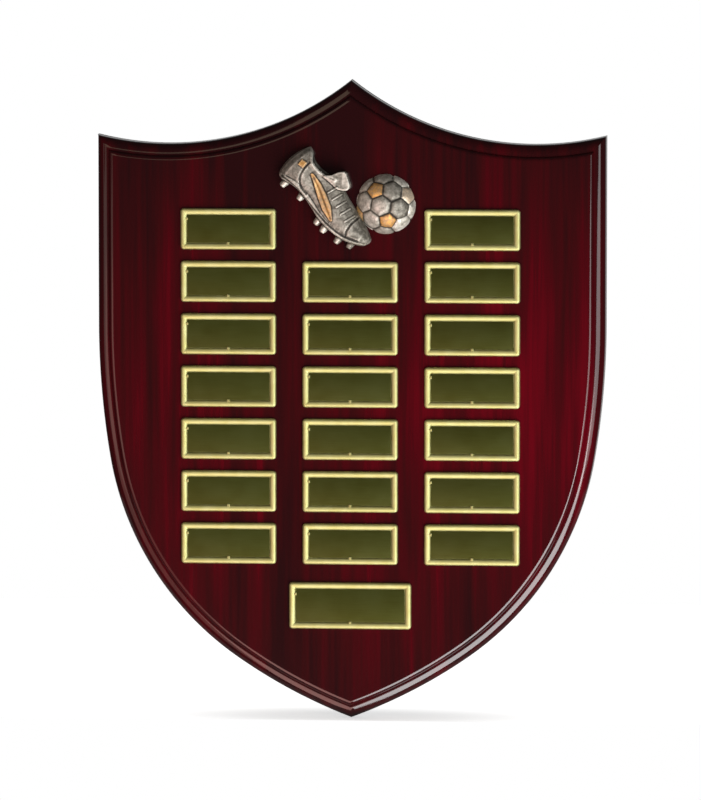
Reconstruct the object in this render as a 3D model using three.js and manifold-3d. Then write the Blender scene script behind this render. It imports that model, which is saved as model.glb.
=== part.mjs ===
// Perpetual trophy: a wall shield with winners' plates and a football relief.
// Lengths are in millimetres. In the finished group +Z is up, +X is right and the front faces -Y.
// The origin is the point on the wall where the hanging screw carries the shield.
//
// Every piece is first drawn in the plane of the wall, as (right, up, out of the wall).
// One turned group at the end stands the whole shield up.

import * as THREE from 'three';
import { mergeVertices } from 'three/addons/utils/BufferGeometryUtils.js';
import Module from 'manifold-3d';

const wasm = await Module();
wasm.setup();

// Shield outline. Below the straight sides, each half is three curves: flank, belly and tip.
const SHIELD_HEIGHT = 400;
const SHIELD_WIDTH = 318;
const HANG_DROP = 70; // from the top point down to the hanging screw
const HOLLOW_DEPTH_SHARE = 0.1; // of the height: how far the two top hollows dip below the top point
const HOLLOW_PLACE_SHARE = 0.72; // of half the width: their lowest points, from the middle
const BEND_SHARE = 0.3826; // of the height: from the top point down to the end of the straight sides
const FLANK_RADIUS_SHARE = 1.2525; // of the height
const FLANK_TURN = THREE.MathUtils.degToRad(9.6); // how far from upright each curve ends
const BELLY_TURN = THREE.MathUtils.degToRad(55);
const TIP_TURN = THREE.MathUtils.degToRad(69.5);

// Board and its two-step moulding
const BOARD_THICKNESS = 18;
const BACK_EDGE_EASE = 0.6; // small chamfer round the back edge
const OVOLO_RADIUS = 6.9; // the broad outer quarter-round
const FILLET_WIDTH = 0.6; // the flat between the two rounds
const STEP_WIDTH = 3.2; // the narrow inner round
const STEP_HEIGHT = 2.4;

// Winners' plates: a pressed tray with a rolled rim, and an engraving plate lying in it
const TAPE_THICKNESS = 0.3; // every plate and the casting stand off the board on tape
const TRAY_WIDTH = 59.6;
const TRAY_HEIGHT = 25.6;
const TRAY_CORNER = 2;
const TRAY_FLOOR = 0.5;
const RIM_WIDTH = 3.3;
const RIM_SIDE = 1; // upright outer edge, below the roll
const RIM_RISE = 1.3; // height of the roll above that edge
const INNER_CORNER = 0.4;
const PLATE_THICKNESS = 0.5;
const PLATE_CLEARANCE = 0.25; // between the engraving plate and the rim
const PLATE_LIFT = 0.3; // tape under the engraving plate
const NIB_WIDTH = 1.7; // the two small nibs that hold the engraving plate down
const NIB_REACH = 0.8;
const NIB_THICKNESS = 0.5;
const NIB_GAP = 0.2;
const NIB_ROOT = 1; // how far a nib runs back into the rim
const SIDE_NIB_SHARE = 0.25; // place of the side nib, from the middle, as a share of the tray height

// Title plate
const TITLE_WIDTH = 76.5;
const TITLE_HEIGHT = 29.1;
const TITLE_GAP = 11.5; // between the last row and the title plate

// Layout of the winners' plates
const COLUMN_GAP = 16.6; // between neighbouring columns
const FIRST_ROW_SHARE = 0.2323; // of the shield's height: from the top point to the middle of the first row
const ROW_PITCH_SHARE = 0.082; // of the shield's height
const ROW_COUNT = 7;
const COLUMNS = [-1, 0, 1];

// Relief: a boot and a ball cast in one piece, as large as the room between the outer columns allows.
// Its sizes are shares of the boot's length.
const CASTING_CLEARANCE = 3.75; // to the frame on either side
const CASTING_GAP = 7.8; // above the middle column's first frame
const CASTING_WIDTH_SHARE = 1.1621;
const CASTING_ROOM = TRAY_WIDTH + 2 * COLUMN_GAP - 2 * CASTING_CLEARANCE;
const BOOT_LENGTH = CASTING_ROOM / CASTING_WIDTH_SHARE;

// Ball of the relief: a shallow cap of a larger sphere, with twelve five-sided and thirty six-sided panels
const BALL_RADIUS = 0.284 * BOOT_LENGTH;
const BALL_RELIEF = 0.1567 * BOOT_LENGTH; // how far the cap stands out
const BALL_TURN = [-0.9, -7.5, 21.8].map(THREE.MathUtils.degToRad);
const BALL_SEAT_SHARE = [0.719, 0.142]; // where the ball meets the boot, as shares of the boot's length
const BALL_BEARING = THREE.MathUtils.degToRad(63.4); // from that point to the ball's middle
const JOIN_DEPTH = 0.0123 * BOOT_LENGTH; // how far ball and boot are cast into each other
const PENTAGON_SHARE = 0.47; // a five-sided panel's corner, as a share of the way to the next panel's
const SEAM_DEPTH = 0.0068 * BOOT_LENGTH;
const SEAM_WIDTH = 0.015 * BOOT_LENGTH;

// Boot of the relief, drawn lying on its side, heel at the left
const BOOT_RELIEF = 0.1662 * BOOT_LENGTH; // how far it stands out
const HEEL_SHARE = [-0.5736, 0.594]; // the bottom of the heel, from the middle of the casting's lower edge
const BOOT_TILT = THREE.MathUtils.degToRad(-36.8);
const SOLE_WRAP = 0.0463 * BOOT_LENGTH; // how far the sole's wall climbs the upper
const SOLE_EASE = 0.0095 * BOOT_LENGTH; // rounding of its lower edge
const SOLE_PROUD = 0.0082 * BOOT_LENGTH;
const OVERLAY_PROUD = 0.0136 * BOOT_LENGTH; // of the side band, heel patch and laces
const TONGUE_HEIGHT = 0.93 * BOOT_RELIEF;
const TONGUE_EASE = 0.0136 * BOOT_LENGTH; // rounding of the flap's edge
const COLLAR_WALL = 0.0204 * BOOT_LENGTH; // thickness of the boot's near wall at its opening
const COLLAR_DEPTH = 0.0613 * BOOT_LENGTH; // how deep the opening runs into the boot
const COLLAR_LEAN = THREE.MathUtils.degToRad(243); // and which way
const HEEL_TAB_SHARE = 0.42; // the part of the collar line, from the heel, that stays solid
const FAR_WALL = 0.28 * BOOT_RELIEF; // height of the far wall, which shows a little past the near one
const STUD_LENGTH = 0.06 * BOOT_LENGTH;
const STUD_ROOT_RADIUS = 0.0313 * BOOT_LENGTH;
const STUD_TIP_RADIUS = 0.0218 * BOOT_LENGTH;
const BAND_WIDTH = 0.0736 * BOOT_LENGTH;
const BAND_GROOVE = 0.0095 * BOOT_LENGTH;
const LACE_LENGTH = 0.0872 * BOOT_LENGTH;
const LACE_WIDTH = 0.0177 * BOOT_LENGTH;
const LACE_COUNT = 5;
const HEEL_PATCH_SIZE = 0.0572 * BOOT_LENGTH;

// Boot sections from heel to toe: the sole edge, the top line, the rise of the section, its bow,
// and how far the collar leaves it open. The points and the bow are shares of the boot's length,
// and the rise is a share of its relief.
const SECTION_SHARES = [
  { sole: [-0.062, 0.044], top: [0.014, 0.350], rise: 0.16, bow: 0.030, open: 0 },
  { sole: [-0.044, 0.016], top: [0.024, 0.362], rise: 0.60, bow: 0.026, open: 0 },
  { sole: [-0.004, 0.002], top: [0.056, 0.354], rise: 0.88, bow: 0.018, open: 0.5 },
  { sole: [0.091, 0.014], top: [0.122, 0.298], rise: 1.00, bow: 0.004, open: 1 },
  { sole: [0.180, 0.008], top: [0.203, 0.275], rise: 0.97, bow: 0.000, open: 1 },
  { sole: [0.270, -0.018], top: [0.280, 0.272], rise: 0.92, bow: 0.000, open: 1 },
  { sole: [0.345, -0.045], top: [0.350, 0.280], rise: 0.92, bow: 0.000, open: 0.7 },
  { sole: [0.421, -0.074], top: [0.432, 0.262], rise: 0.96, bow: 0.000, open: 0.1 },
  { sole: [0.536, -0.100], top: [0.538, 0.214], rise: 1.00, bow: 0.000, open: 0 },
  { sole: [0.640, -0.107], top: [0.640, 0.174], rise: 0.98, bow: 0.000, open: 0 },
  { sole: [0.740, -0.098], top: [0.736, 0.137], rise: 0.90, bow: 0.000, open: 0 },
  { sole: [0.833, -0.069], top: [0.822, 0.099], rise: 0.74, bow: -0.004, open: 0 },
  { sole: [0.893, -0.034], top: [0.880, 0.064], rise: 0.50, bow: -0.006, open: 0 },
  { sole: [0.913, -0.002], top: [0.909, 0.044], rise: 0.18, bow: -0.006, open: 0 },
];

// One section across the boot, from sole to top line, as shares: the place across it,
// the height where the upper closes over the foot, and the height where the collar leaves it open.
const ARCH_SHARES = [
  [0.03, 0.00, 0.00], [0.03, 0.50, 0.50], [0.06, 0.72, 0.72], [0.14, 0.89, 0.88],
  [0.29, 0.985, 0.97], [0.46, 1.00, 0.98], [0.63, 0.94, 0.94], [0.79, 0.79, 0.90],
  [0.91, 0.54, 0.87], [0.98, 0.27, 0.85], [1.00, 0.00, 0.83],
];

// Studs: where each tip is, as shares of the boot's length, and its height out of the board as a share
const STUD_SHARES = [
  { tip: [0.030, -0.050], out: 0.62 },
  { tip: [0.215, -0.055], out: 0.72 },
  { tip: [0.452, -0.140], out: 0.48 },
  { tip: [0.535, -0.158], out: 0.70 },
  { tip: [0.685, -0.160], out: 0.66 },
  { tip: [0.795, -0.132], out: 0.42 },
];

// Outlines on the boot, as shares of its length
const TONGUE_SHARES = [
  [0.330, 0.238], [0.323, 0.300], [0.344, 0.342], [0.380, 0.372], [0.408, 0.374], [0.428, 0.360],
  [0.492, 0.312], [0.505, 0.292], [0.500, 0.262], [0.484, 0.228], [0.430, 0.220],
];
const COLLAR_SHARES = [
  [0.070, 0.385], [0.088, 0.326], [0.115, 0.286], [0.150, 0.266],
  [0.205, 0.253], [0.270, 0.253], [0.360, 0.270],
];
const BAND_SHARES = [[0.184, 0.194], [0.262, 0.156], [0.366, 0.094], [0.462, 0.034], [0.540, -0.018]];
const BAND_SWELL_SHARES = [0.25, 0.72, 0.95, 1.00, 0.25];
const LACE_LINE_SHARES = [[0.400, 0.192], [0.660, 0.082]];
const HEEL_PATCH_SHARE = [0.066, 0.222];

// Keyhole hanger, let into the back of the board
const HANGER_WIDTH = 22;
const HANGER_THICKNESS = 2;
const HANGER_CORNER = 3;
const HANGER_CLEARANCE = 0.3; // round and under the hanger in its recess
const SLOT_WIDTH = 5;
const SLOT_TRAVEL = 14; // from the middle of the entry hole up to the hanging point
const ENTRY_DIAMETER = 10.5;
const HEAD_POCKET_DEPTH = 6; // room for the wall screw's head behind the hanger
const HEAD_POCKET_MARGIN = 1.6; // round the entry hole

// Countersunk screws of the hanger
const SCREW_LENGTH = 12;
const SCREW_SHANK_DIAMETER = 2.8;
const SCREW_HEAD_DIAMETER = 5.6;
const SCREW_HEAD_HEIGHT = 1.5;
const SCREW_HEAD_SUNK = 0.2; // the head lies just below the hanger's face
const SCREW_CLEARANCE = 0.2;
const SCREW_INSET = 4.6; // from the end of the hanger
const SCREW_MARGIN = 2; // of wood between a screw and the head pocket
const DRIVE_WIDTH = 0.8; // cross recess
const DRIVE_LENGTH = 3;
const DRIVE_DEPTH = 0.8;

// Smoothness
const OVERRUN = 1; // every cut runs this far past what it cuts
const HOLLOW_STEPS = 12;
const FLANK_STEPS = 3;
const BELLY_STEPS = 9;
const TIP_STEPS = 7;
const OVOLO_STEPS = 6;
const STEP_STEPS = 3;
const CORNER_STEPS = 2;
const RIM_STEPS = 5;
const SECTION_STEPS = 26;
const ROUND_SIDES = 24;
const STUD_SIDES = 10;
const TONGUE_STEPS = 18;
const COLLAR_STEPS = 10;

// Finishes
function finish(color, roughness, metalness) {
  return new THREE.MeshStandardMaterial({ color, roughness, metalness });
}

const lacqueredRosewood = finish(0x4a0a10, 0.12, 0);
const goldRim = finish(0xe8dc82, 0.22, 1);
const brushedBrass = finish(0x45431f, 0.4, 1);
const castSilver = finish(0x9a958c, 0.45, 0.9);
const zincSteel = finish(0xb9bcc0, 0.35, 1);

const TOP = HANG_DROP;
const FACE = BOARD_THICKNESS;
const columnPitch = TRAY_WIDTH + COLUMN_GAP;
const rowY = (row) => TOP - (FIRST_ROW_SHARE + row * ROW_PITCH_SHARE) * SHIELD_HEIGHT;
const titleY = rowY(ROW_COUNT - 1) - TRAY_HEIGHT / 2 - TITLE_GAP - TITLE_HEIGHT / 2;

// Helpers for closed solids

// Skins a stack of closed rings and closes both ends; flat(v) gives the plane in which an end is filled.
function skin(rings, flat) {
  const count = rings[0].length;
  const positions = rings.flat().flatMap((p) => [p.x, p.y, p.z]);
  const triangles = [];
  for (let ring = 0; ring + 1 < rings.length; ring++) {
    for (let i = 0; i < count; i++) {
      const a = ring * count + i;
      const b = ring * count + (i + 1) % count;
      triangles.push(a, b, b + count, a, b + count, a + count);
    }
  }
  const last = (rings.length - 1) * count;
  const fill = (ring) => {
    const outline = ring.map(flat);
    const faces = THREE.ShapeUtils.triangulateShape(outline, []);
    return THREE.ShapeUtils.isClockWise(outline) ? faces.map((face) => face.reverse()) : faces;
  };
  for (const [a, b, c] of fill(rings[0])) triangles.push(a, c, b);
  for (const [a, b, c] of fill(rings[rings.length - 1])) triangles.push(last + a, last + b, last + c);
  return closed(positions, triangles);
}

// A welded geometry whose faces point outwards, whichever way its rings were drawn.
function closed(positions, triangles) {
  const geometry = new THREE.BufferGeometry();
  geometry.setAttribute('position', new THREE.Float32BufferAttribute(positions, 3));
  geometry.setIndex(triangles);
  return signedVolume(geometry) < 0 ? flipped(geometry) : geometry;
}

function signedVolume(geometry) {
  const { position } = geometry.attributes;
  const index = geometry.index.array;
  const corners = [new THREE.Vector3(), new THREE.Vector3(), new THREE.Vector3()];
  let sum = 0;
  for (let i = 0; i < index.length; i += 3) {
    corners.forEach((corner, k) => corner.fromBufferAttribute(position, index[i + k]));
    sum += corners[0].dot(corners[1].cross(corners[2]));
  }
  return sum;
}

function flipped(geometry) {
  const index = geometry.index.array;
  for (let i = 0; i < index.length; i += 3) [index[i], index[i + 1]] = [index[i + 1], index[i]];
  return geometry;
}

function toSolid(geometry) {
  const bare = geometry.clone();
  bare.deleteAttribute('normal');
  bare.deleteAttribute('uv');
  const welded = mergeVertices(bare);
  const mesh = new wasm.Mesh({
    numProp: 3,
    vertProperties: new Float32Array(welded.attributes.position.array),
    triVerts: new Uint32Array(welded.index.array),
  });
  return new wasm.Manifold(mesh);
}

function toGeometry(solid) {
  const { vertProperties, triVerts } = solid.getMesh();
  const geometry = new THREE.BufferGeometry();
  geometry.setAttribute('position', new THREE.Float32BufferAttribute(vertProperties, 3));
  geometry.setIndex(Array.from(triVerts));
  return geometry;
}

const union = (solids) => solids.reduce((all, one) => all.add(one));
const moved = (geometry, x, y, z) => geometry.clone().translate(x, y, z);

function prism(points, bottom, top) {
  const sides = { depth: top - bottom, bevelEnabled: false };
  return new THREE.ExtrudeGeometry(new THREE.Shape(points), sides).translate(0, 0, bottom);
}

function box(width, height, bottom, top) {
  return new THREE.BoxGeometry(width, height, top - bottom).translate(0, 0, (bottom + top) / 2);
}

// A round bar along the out-of-wall direction.
function rod(radius, bottom, top) {
  const bar = new THREE.CylinderGeometry(radius, radius, top - bottom, ROUND_SIDES);
  return bar.rotateX(Math.PI / 2).translate(0, 0, (bottom + top) / 2);
}

function arcPoints(centre, radius, from, to, steps) {
  return Array.from({ length: steps + 1 }, (_, i) => {
    const angle = THREE.MathUtils.lerp(from, to, i / steps);
    return new THREE.Vector2(centre.x + radius * Math.cos(angle), centre.y + radius * Math.sin(angle));
  });
}

// Shield outline: every arc keeps its centre and only its radius changes with the inset,
// so the moulding's corners come out as true mitres.

function shieldArcs() {
  const half = SHIELD_WIDTH / 2;
  const depth = HOLLOW_DEPTH_SHARE * SHIELD_HEIGHT;
  const place = HOLLOW_PLACE_SHARE * half;
  const hollowRadius = (place ** 2 + depth ** 2) / (2 * depth);
  const hollow = new THREE.Vector2(place, TOP - depth + hollowRadius);
  const flankRadius = FLANK_RADIUS_SHARE * SHIELD_HEIGHT;
  const flank = new THREE.Vector2(half - flankRadius, TOP - BEND_SHARE * SHIELD_HEIGHT);
  const outward = (turn) => new THREE.Vector2(Math.cos(turn), -Math.sin(turn));
  // the belly and the tip share what is left of the way to the point, each by its own chord
  const bellyChord = outward(BELLY_TURN).sub(outward(FLANK_TURN));
  const tipChord = outward(TIP_TURN).sub(outward(BELLY_TURN));
  const point = new THREE.Vector2(0, TOP - SHIELD_HEIGHT);
  const left = point.sub(flank).addScaledVector(outward(FLANK_TURN), -flankRadius);
  const bellyRadius = left.cross(tipChord) / bellyChord.cross(tipChord);
  const tipRadius = bellyChord.cross(left) / bellyChord.cross(tipChord);
  const belly = outward(FLANK_TURN).multiplyScalar(flankRadius - bellyRadius).add(flank);
  const tip = outward(BELLY_TURN).multiplyScalar(bellyRadius - tipRadius).add(belly);
  return { half, hollowRadius, hollow, flankRadius, flank, bellyRadius, belly, tipRadius, tip };
}

const arcs = shieldArcs();

function shieldRing(inset) {
  const { half, hollowRadius, hollow, flankRadius, flank, bellyRadius, belly, tipRadius, tip } = arcs;
  const hollowR = hollowRadius + inset;
  const tipR = tipRadius - inset;
  const below = (reach) => -Math.acos(reach);
  const atMiddle = below(-hollow.x / hollowR);
  const atShoulder = below((half - inset - hollow.x) / hollowR);
  const right = [
    ...arcPoints(hollow, hollowR, atMiddle, atShoulder, HOLLOW_STEPS),
    ...arcPoints(flank, flankRadius - inset, 0, -FLANK_TURN, FLANK_STEPS),
    ...arcPoints(belly, bellyRadius - inset, -FLANK_TURN, -BELLY_TURN, BELLY_STEPS).slice(1),
    ...arcPoints(tip, tipR, -BELLY_TURN, below(-tip.x / tipR), TIP_STEPS).slice(1),
  ];
  right[0].x = 0;
  right[right.length - 1].x = 0;
  const left = right.slice(1, -1).reverse().map((p) => new THREE.Vector2(-p.x, p.y));
  return [...right, ...left];
}

const atHeight = (ring, z) => ring.map((p) => new THREE.Vector3(p.x, p.y, z));
const fromFront = (p) => new THREE.Vector2(p.x, p.y);

// Moulding profile as [inset from the outline, height above the wall]
function mouldingProfile() {
  const land = BOARD_THICKNESS - STEP_HEIGHT - OVOLO_RADIUS;
  const quarter = (centre, across, high, steps) => Array.from({ length: steps + 1 }, (_, i) => {
    const angle = (Math.PI / 2) * (i / steps);
    return [centre - across * Math.cos(angle), high * Math.sin(angle)];
  });
  const ovolo = quarter(OVOLO_RADIUS, OVOLO_RADIUS, OVOLO_RADIUS, OVOLO_STEPS);
  const step = quarter(OVOLO_RADIUS + FILLET_WIDTH + STEP_WIDTH, STEP_WIDTH, STEP_HEIGHT, STEP_STEPS);
  return [
    [BACK_EDGE_EASE, 0],
    [0, BACK_EDGE_EASE],
    ...ovolo.map(([inset, rise]) => [inset, land + rise]),
    ...step.map(([inset, rise]) => [inset, land + OVOLO_RADIUS + rise]),
  ];
}

// Hanger places, in the plane of the wall: each screw stands clear of the pocket for the wall screw's head
function hangerPlan() {
  const pocket = ENTRY_DIAMETER / 2 + HEAD_POCKET_MARGIN;
  const bore = SCREW_SHANK_DIAMETER / 2 + SCREW_CLEARANCE;
  const reach = pocket + SCREW_MARGIN + bore;
  const screws = [reach, -SLOT_TRAVEL - reach];
  return {
    pocket,
    bore,
    screws,
    middle: (screws[0] + screws[1]) / 2,
    length: screws[0] - screws[1] + 2 * SCREW_INSET,
    recess: HANGER_THICKNESS + HANGER_CLEARANCE,
  };
}

const hanger = hangerPlan();

function roundedRing(width, height, corner, steps) {
  const x = width / 2 - corner;
  const y = height / 2 - corner;
  const corners = [[x, y, 0], [-x, y, 1], [-x, -y, 2], [x, -y, 3]];
  return corners.flatMap(([cx, cy, turn]) => {
    const start = (turn * Math.PI) / 2;
    return arcPoints(new THREE.Vector2(cx, cy), corner, start, start + Math.PI / 2, steps);
  });
}

function shieldBoard() {
  const rings = mouldingProfile().map(([inset, z]) => atHeight(shieldRing(inset), z));
  const clearance = 2 * HANGER_CLEARANCE;
  const recessOutline = roundedRing(
    HANGER_WIDTH + clearance,
    hanger.length + clearance,
    HANGER_CORNER + HANGER_CLEARANCE,
    CORNER_STEPS,
  ).map((p) => p.add(new THREE.Vector2(0, hanger.middle)));
  const pocketDepth = hanger.recess + HEAD_POCKET_DEPTH;
  const boreEnd = SCREW_HEAD_SUNK + SCREW_LENGTH + SCREW_CLEARANCE;
  const cuts = [
    prism(recessOutline, -OVERRUN, hanger.recess),
    prism(keyholeOutline(hanger.pocket, hanger.pocket), -OVERRUN, pocketDepth),
    ...hanger.screws.map((y) => moved(rod(hanger.bore, -OVERRUN, boreEnd), 0, y, 0)),
  ];
  return toGeometry(toSolid(skin(rings, fromFront)).subtract(union(cuts.map(toSolid))));
}

// A slot with a round top at the hanging point and a wider round entry below it.
function keyholeOutline(slotRadius, entryRadius) {
  const neck = Math.asin(slotRadius / entryRadius);
  const slot = arcPoints(new THREE.Vector2(0, 0), slotRadius, 0, Math.PI, ROUND_SIDES / 2);
  const entryCentre = new THREE.Vector2(0, -SLOT_TRAVEL);
  const quarter = Math.PI / 2;
  const entry = arcPoints(entryCentre, entryRadius, quarter + neck, 5 * quarter - neck, ROUND_SIDES);
  return [...slot, ...entry];
}

function keyholeHanger() {
  const outline = roundedRing(HANGER_WIDTH, hanger.length, HANGER_CORNER, CORNER_STEPS)
    .map((p) => p.add(new THREE.Vector2(0, hanger.middle)));
  const plate = toSolid(prism(outline, 0, HANGER_THICKNESS));
  const keyhole = toSolid(prism(
    keyholeOutline(SLOT_WIDTH / 2, ENTRY_DIAMETER / 2), -OVERRUN, HANGER_THICKNESS + OVERRUN));
  const screwHoles = hanger.screws.map((y) => toSolid(moved(screwBody(SCREW_CLEARANCE), 0, y, 0)));
  return toGeometry(plate.subtract(union([keyhole, ...screwHoles])));
}

// The screw as a turned profile, head towards the wall; extra is a clearance all round.
function screwBody(extra) {
  const head = SCREW_HEAD_DIAMETER / 2 + extra;
  const shank = SCREW_SHANK_DIAMETER / 2 + extra;
  const face = extra > 0 ? -OVERRUN : SCREW_HEAD_SUNK;
  const neck = SCREW_HEAD_SUNK + SCREW_HEAD_HEIGHT;
  const end = SCREW_HEAD_SUNK + SCREW_LENGTH;
  const point = end - 2 * SCREW_SHANK_DIAMETER;
  const profile = [
    [0, face], [head, face], [head, SCREW_HEAD_SUNK], [shank, neck],
    [shank, point], [shank / 2, end], [0, end],
  ].map(([radius, out]) => new THREE.Vector2(radius, out));
  if (extra === 0) profile.splice(1, 1);
  return withoutSeam(new THREE.LatheGeometry(profile, ROUND_SIDES).rotateX(Math.PI / 2));
}

function withoutSeam(geometry) {
  geometry.deleteAttribute('normal');
  geometry.deleteAttribute('uv');
  const welded = mergeVertices(geometry);
  return signedVolume(welded) < 0 ? flipped(welded) : welded;
}

function hangerScrew() {
  const bars = [[DRIVE_LENGTH, DRIVE_WIDTH], [DRIVE_WIDTH, DRIVE_LENGTH]];
  const drive = bars.map(([w, h]) => toSolid(box(w, h, -OVERRUN, SCREW_HEAD_SUNK + DRIVE_DEPTH)));
  return toGeometry(toSolid(screwBody(0)).subtract(union(drive)));
}

// Plates

function tray(width, height) {
  const rim = Array.from({ length: RIM_STEPS + 1 }, (_, i) => {
    const angle = Math.PI * (1 - i / RIM_STEPS);
    return [(RIM_WIDTH / 2) * (1 + Math.cos(angle)), RIM_SIDE + RIM_RISE * Math.sin(angle)];
  });
  const profile = [[0, 0], ...rim, [RIM_WIDTH, TRAY_FLOOR]];
  const rings = profile.map(([inset, z]) => {
    const corner = Math.max(TRAY_CORNER - inset, INNER_CORNER);
    return atHeight(roundedRing(width - 2 * inset, height - 2 * inset, corner, CORNER_STEPS), z);
  });
  const nibBottom = TRAY_FLOOR + PLATE_LIFT + PLATE_THICKNESS + NIB_GAP;
  const nibTop = nibBottom + NIB_THICKNESS;
  const nibLength = NIB_ROOT + NIB_REACH;
  const fromEdge = RIM_WIDTH - NIB_ROOT + nibLength / 2;
  const upright = box(NIB_WIDTH, nibLength, nibBottom, nibTop);
  const level = box(nibLength, NIB_WIDTH, nibBottom, nibTop);
  const lowNib = moved(upright, 0, fromEdge - height / 2, 0);
  const sideNib = moved(level, fromEdge - width / 2, height * SIDE_NIB_SHARE, 0);
  return toGeometry(union([skin(rings, fromFront), lowNib, sideNib].map(toSolid)));
}

function engravingPlate(width, height) {
  const inset = 2 * (RIM_WIDTH + PLATE_CLEARANCE);
  const ring = roundedRing(width - inset, height - inset, INNER_CORNER, CORNER_STEPS);
  const bottom = TRAY_FLOOR + PLATE_LIFT;
  return skin([atHeight(ring, bottom), atHeight(ring, bottom + PLATE_THICKNESS)], fromFront);
}

// Boot of the relief, in its own frame: along the boot, up from the sole, out of the board

const onBoot = ([along, up]) => new THREE.Vector2(along * BOOT_LENGTH, up * BOOT_LENGTH);

// Smooth sections from the chosen ones.
function bootSections(steps) {
  const smooth = (pick) => new THREE.CatmullRomCurve3(SECTION_SHARES.map(pick), false, 'centripetal');
  const along = (pair) => new THREE.Vector3(pair[0] * BOOT_LENGTH, pair[1] * BOOT_LENGTH, 0);
  const sole = smooth((s) => along(s.sole));
  const top = smooth((s) => along(s.top));
  const last = SECTION_SHARES.length - 1;
  const between = (t, name) => {
    const i = Math.min(Math.floor(t * last), last - 1);
    const share = t * last - i;
    return THREE.MathUtils.lerp(SECTION_SHARES[i][name], SECTION_SHARES[i + 1][name], share);
  };
  return Array.from({ length: steps + 1 }, (_, i) => {
    const t = i / steps;
    const from = sole.getPoint(t);
    const to = top.getPoint(t);
    const across = to.clone().sub(from).setZ(0);
    const back = new THREE.Vector3(-across.y, across.x, 0).normalize();
    return {
      from, across, back, t,
      rise: between(t, 'rise') * BOOT_RELIEF,
      bow: between(t, 'bow') * BOOT_LENGTH,
      open: between(t, 'open'),
    };
  });
}

// The upper, with its skin moved out by proud; its foot runs below the board's face and is cut later.
function bootUpper(proud) {
  const rings = bootSections(SECTION_STEPS).map(({ from, across, back, rise, bow, open }) => {
    const arch = ARCH_SHARES.map(([share, height, openHeight]) => {
      const point = across.clone().multiplyScalar(share).add(from);
      point.addScaledVector(back, 4 * bow * share * (1 - share));
      return point.setZ(THREE.MathUtils.lerp(height, openHeight, open) * rise + proud);
    });
    const foot = [arch[arch.length - 1], arch[0]].map((p) => p.clone().setZ(-OVERRUN));
    return [...arch, ...foot];
  });
  return skin(rings, (p) => new THREE.Vector2(p.y, p.z));
}

// The outsole: a strip along the sole edge whose wall climbs the upper a little.
function bootSole() {
  const rings = bootSections(SECTION_STEPS).map(({ from, across, rise }) => {
    const up = across.clone().normalize();
    const tall = Math.min(SOLE_WRAP, across.length() / 2);
    const at = (climb, out) => from.clone().addScaledVector(up, climb).setZ(out);
    const low = ARCH_SHARES[1][1] * rise;
    const high = ARCH_SHARES[3][1] * rise;
    return [
      at(0, -OVERRUN),
      at(0, low),
      at(SOLE_EASE, high),
      at(2 * SOLE_EASE, high + SOLE_PROUD),
      at(tall, high + SOLE_PROUD),
      at(tall, -OVERRUN),
    ];
  });
  return skin(rings, (p) => new THREE.Vector2(p.y, p.z));
}

function bootStuds() {
  const sections = bootSections(SECTION_STEPS);
  return STUD_SHARES.map(({ tip, out }) => {
    const end = onBoot(tip);
    const near = sections.reduce((best, one) => {
      const gap = (s) => Math.abs(s.from.x - end.x);
      return gap(one) < gap(best) ? one : best;
    });
    const up = near.across.clone().normalize();
    const stud = new THREE.CylinderGeometry(STUD_ROOT_RADIUS, STUD_TIP_RADIUS, STUD_LENGTH, STUD_SIDES);
    const turn = Math.atan2(up.y, up.x) - Math.PI / 2;
    stud.translate(0, STUD_LENGTH / 2, 0).rotateZ(turn);
    return toSolid(stud.translate(end.x, end.y, out * BOOT_RELIEF - STUD_ROOT_RADIUS));
  });
}

// Everything that stands proud of the upper is an outline pushed through a slightly larger upper.
function overlays() {
  const along = BAND_SHARES.map(onBoot);
  const centre = new THREE.CatmullRomCurve3(along.map((p) => new THREE.Vector3(p.x, p.y, 0)));
  const steps = BAND_SWELL_SHARES.length - 1;
  const spine = BAND_SWELL_SHARES.map((swell, i) => {
    const tangent = centre.getTangent(i / steps);
    const side = new THREE.Vector2(-tangent.y, tangent.x);
    const point = centre.getPoint(i / steps);
    return { at: new THREE.Vector2(point.x, point.y), side, half: (swell * BAND_WIDTH) / 2 };
  });
  const halfBand = (sign) => {
    const beside = ({ at, side }, reach) => at.clone().addScaledVector(side, sign * reach);
    const inner = spine.map((one) => beside(one, BAND_GROOVE / 2));
    const outer = spine.map((one) => beside(one, BAND_GROOVE / 2 + one.half));
    return [...inner, ...outer.reverse()];
  };
  const [laceStart, laceEnd] = LACE_LINE_SHARES.map(onBoot);
  const run = laceEnd.clone().sub(laceStart);
  const lace = (i) => {
    const middle = laceStart.clone().addScaledVector(run, i / (LACE_COUNT - 1));
    const half = new THREE.Vector2(LACE_WIDTH / 2, LACE_LENGTH / 2);
    const corners = [[-1, -1], [1, -1], [1, 1], [-1, 1]].map((corner) => new THREE.Vector2(...corner));
    return corners.map((p) => p.multiply(half).rotateAround(new THREE.Vector2(), run.angle()).add(middle));
  };
  const patch = roundedRing(HEEL_PATCH_SIZE, HEEL_PATCH_SIZE, HEEL_PATCH_SIZE / 4, 1)
    .map((p) => p.add(onBoot(HEEL_PATCH_SHARE)));
  const laces = Array.from({ length: LACE_COUNT }, (_, i) => lace(i));
  const outlines = [halfBand(1), halfBand(-1).reverse(), patch, ...laces];
  const cutters = outlines.map((points) => toSolid(prism(points, 0, 2 * BOOT_RELIEF)));
  return toSolid(bootUpper(OVERLAY_PROUD)).intersect(union(cutters));
}

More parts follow.
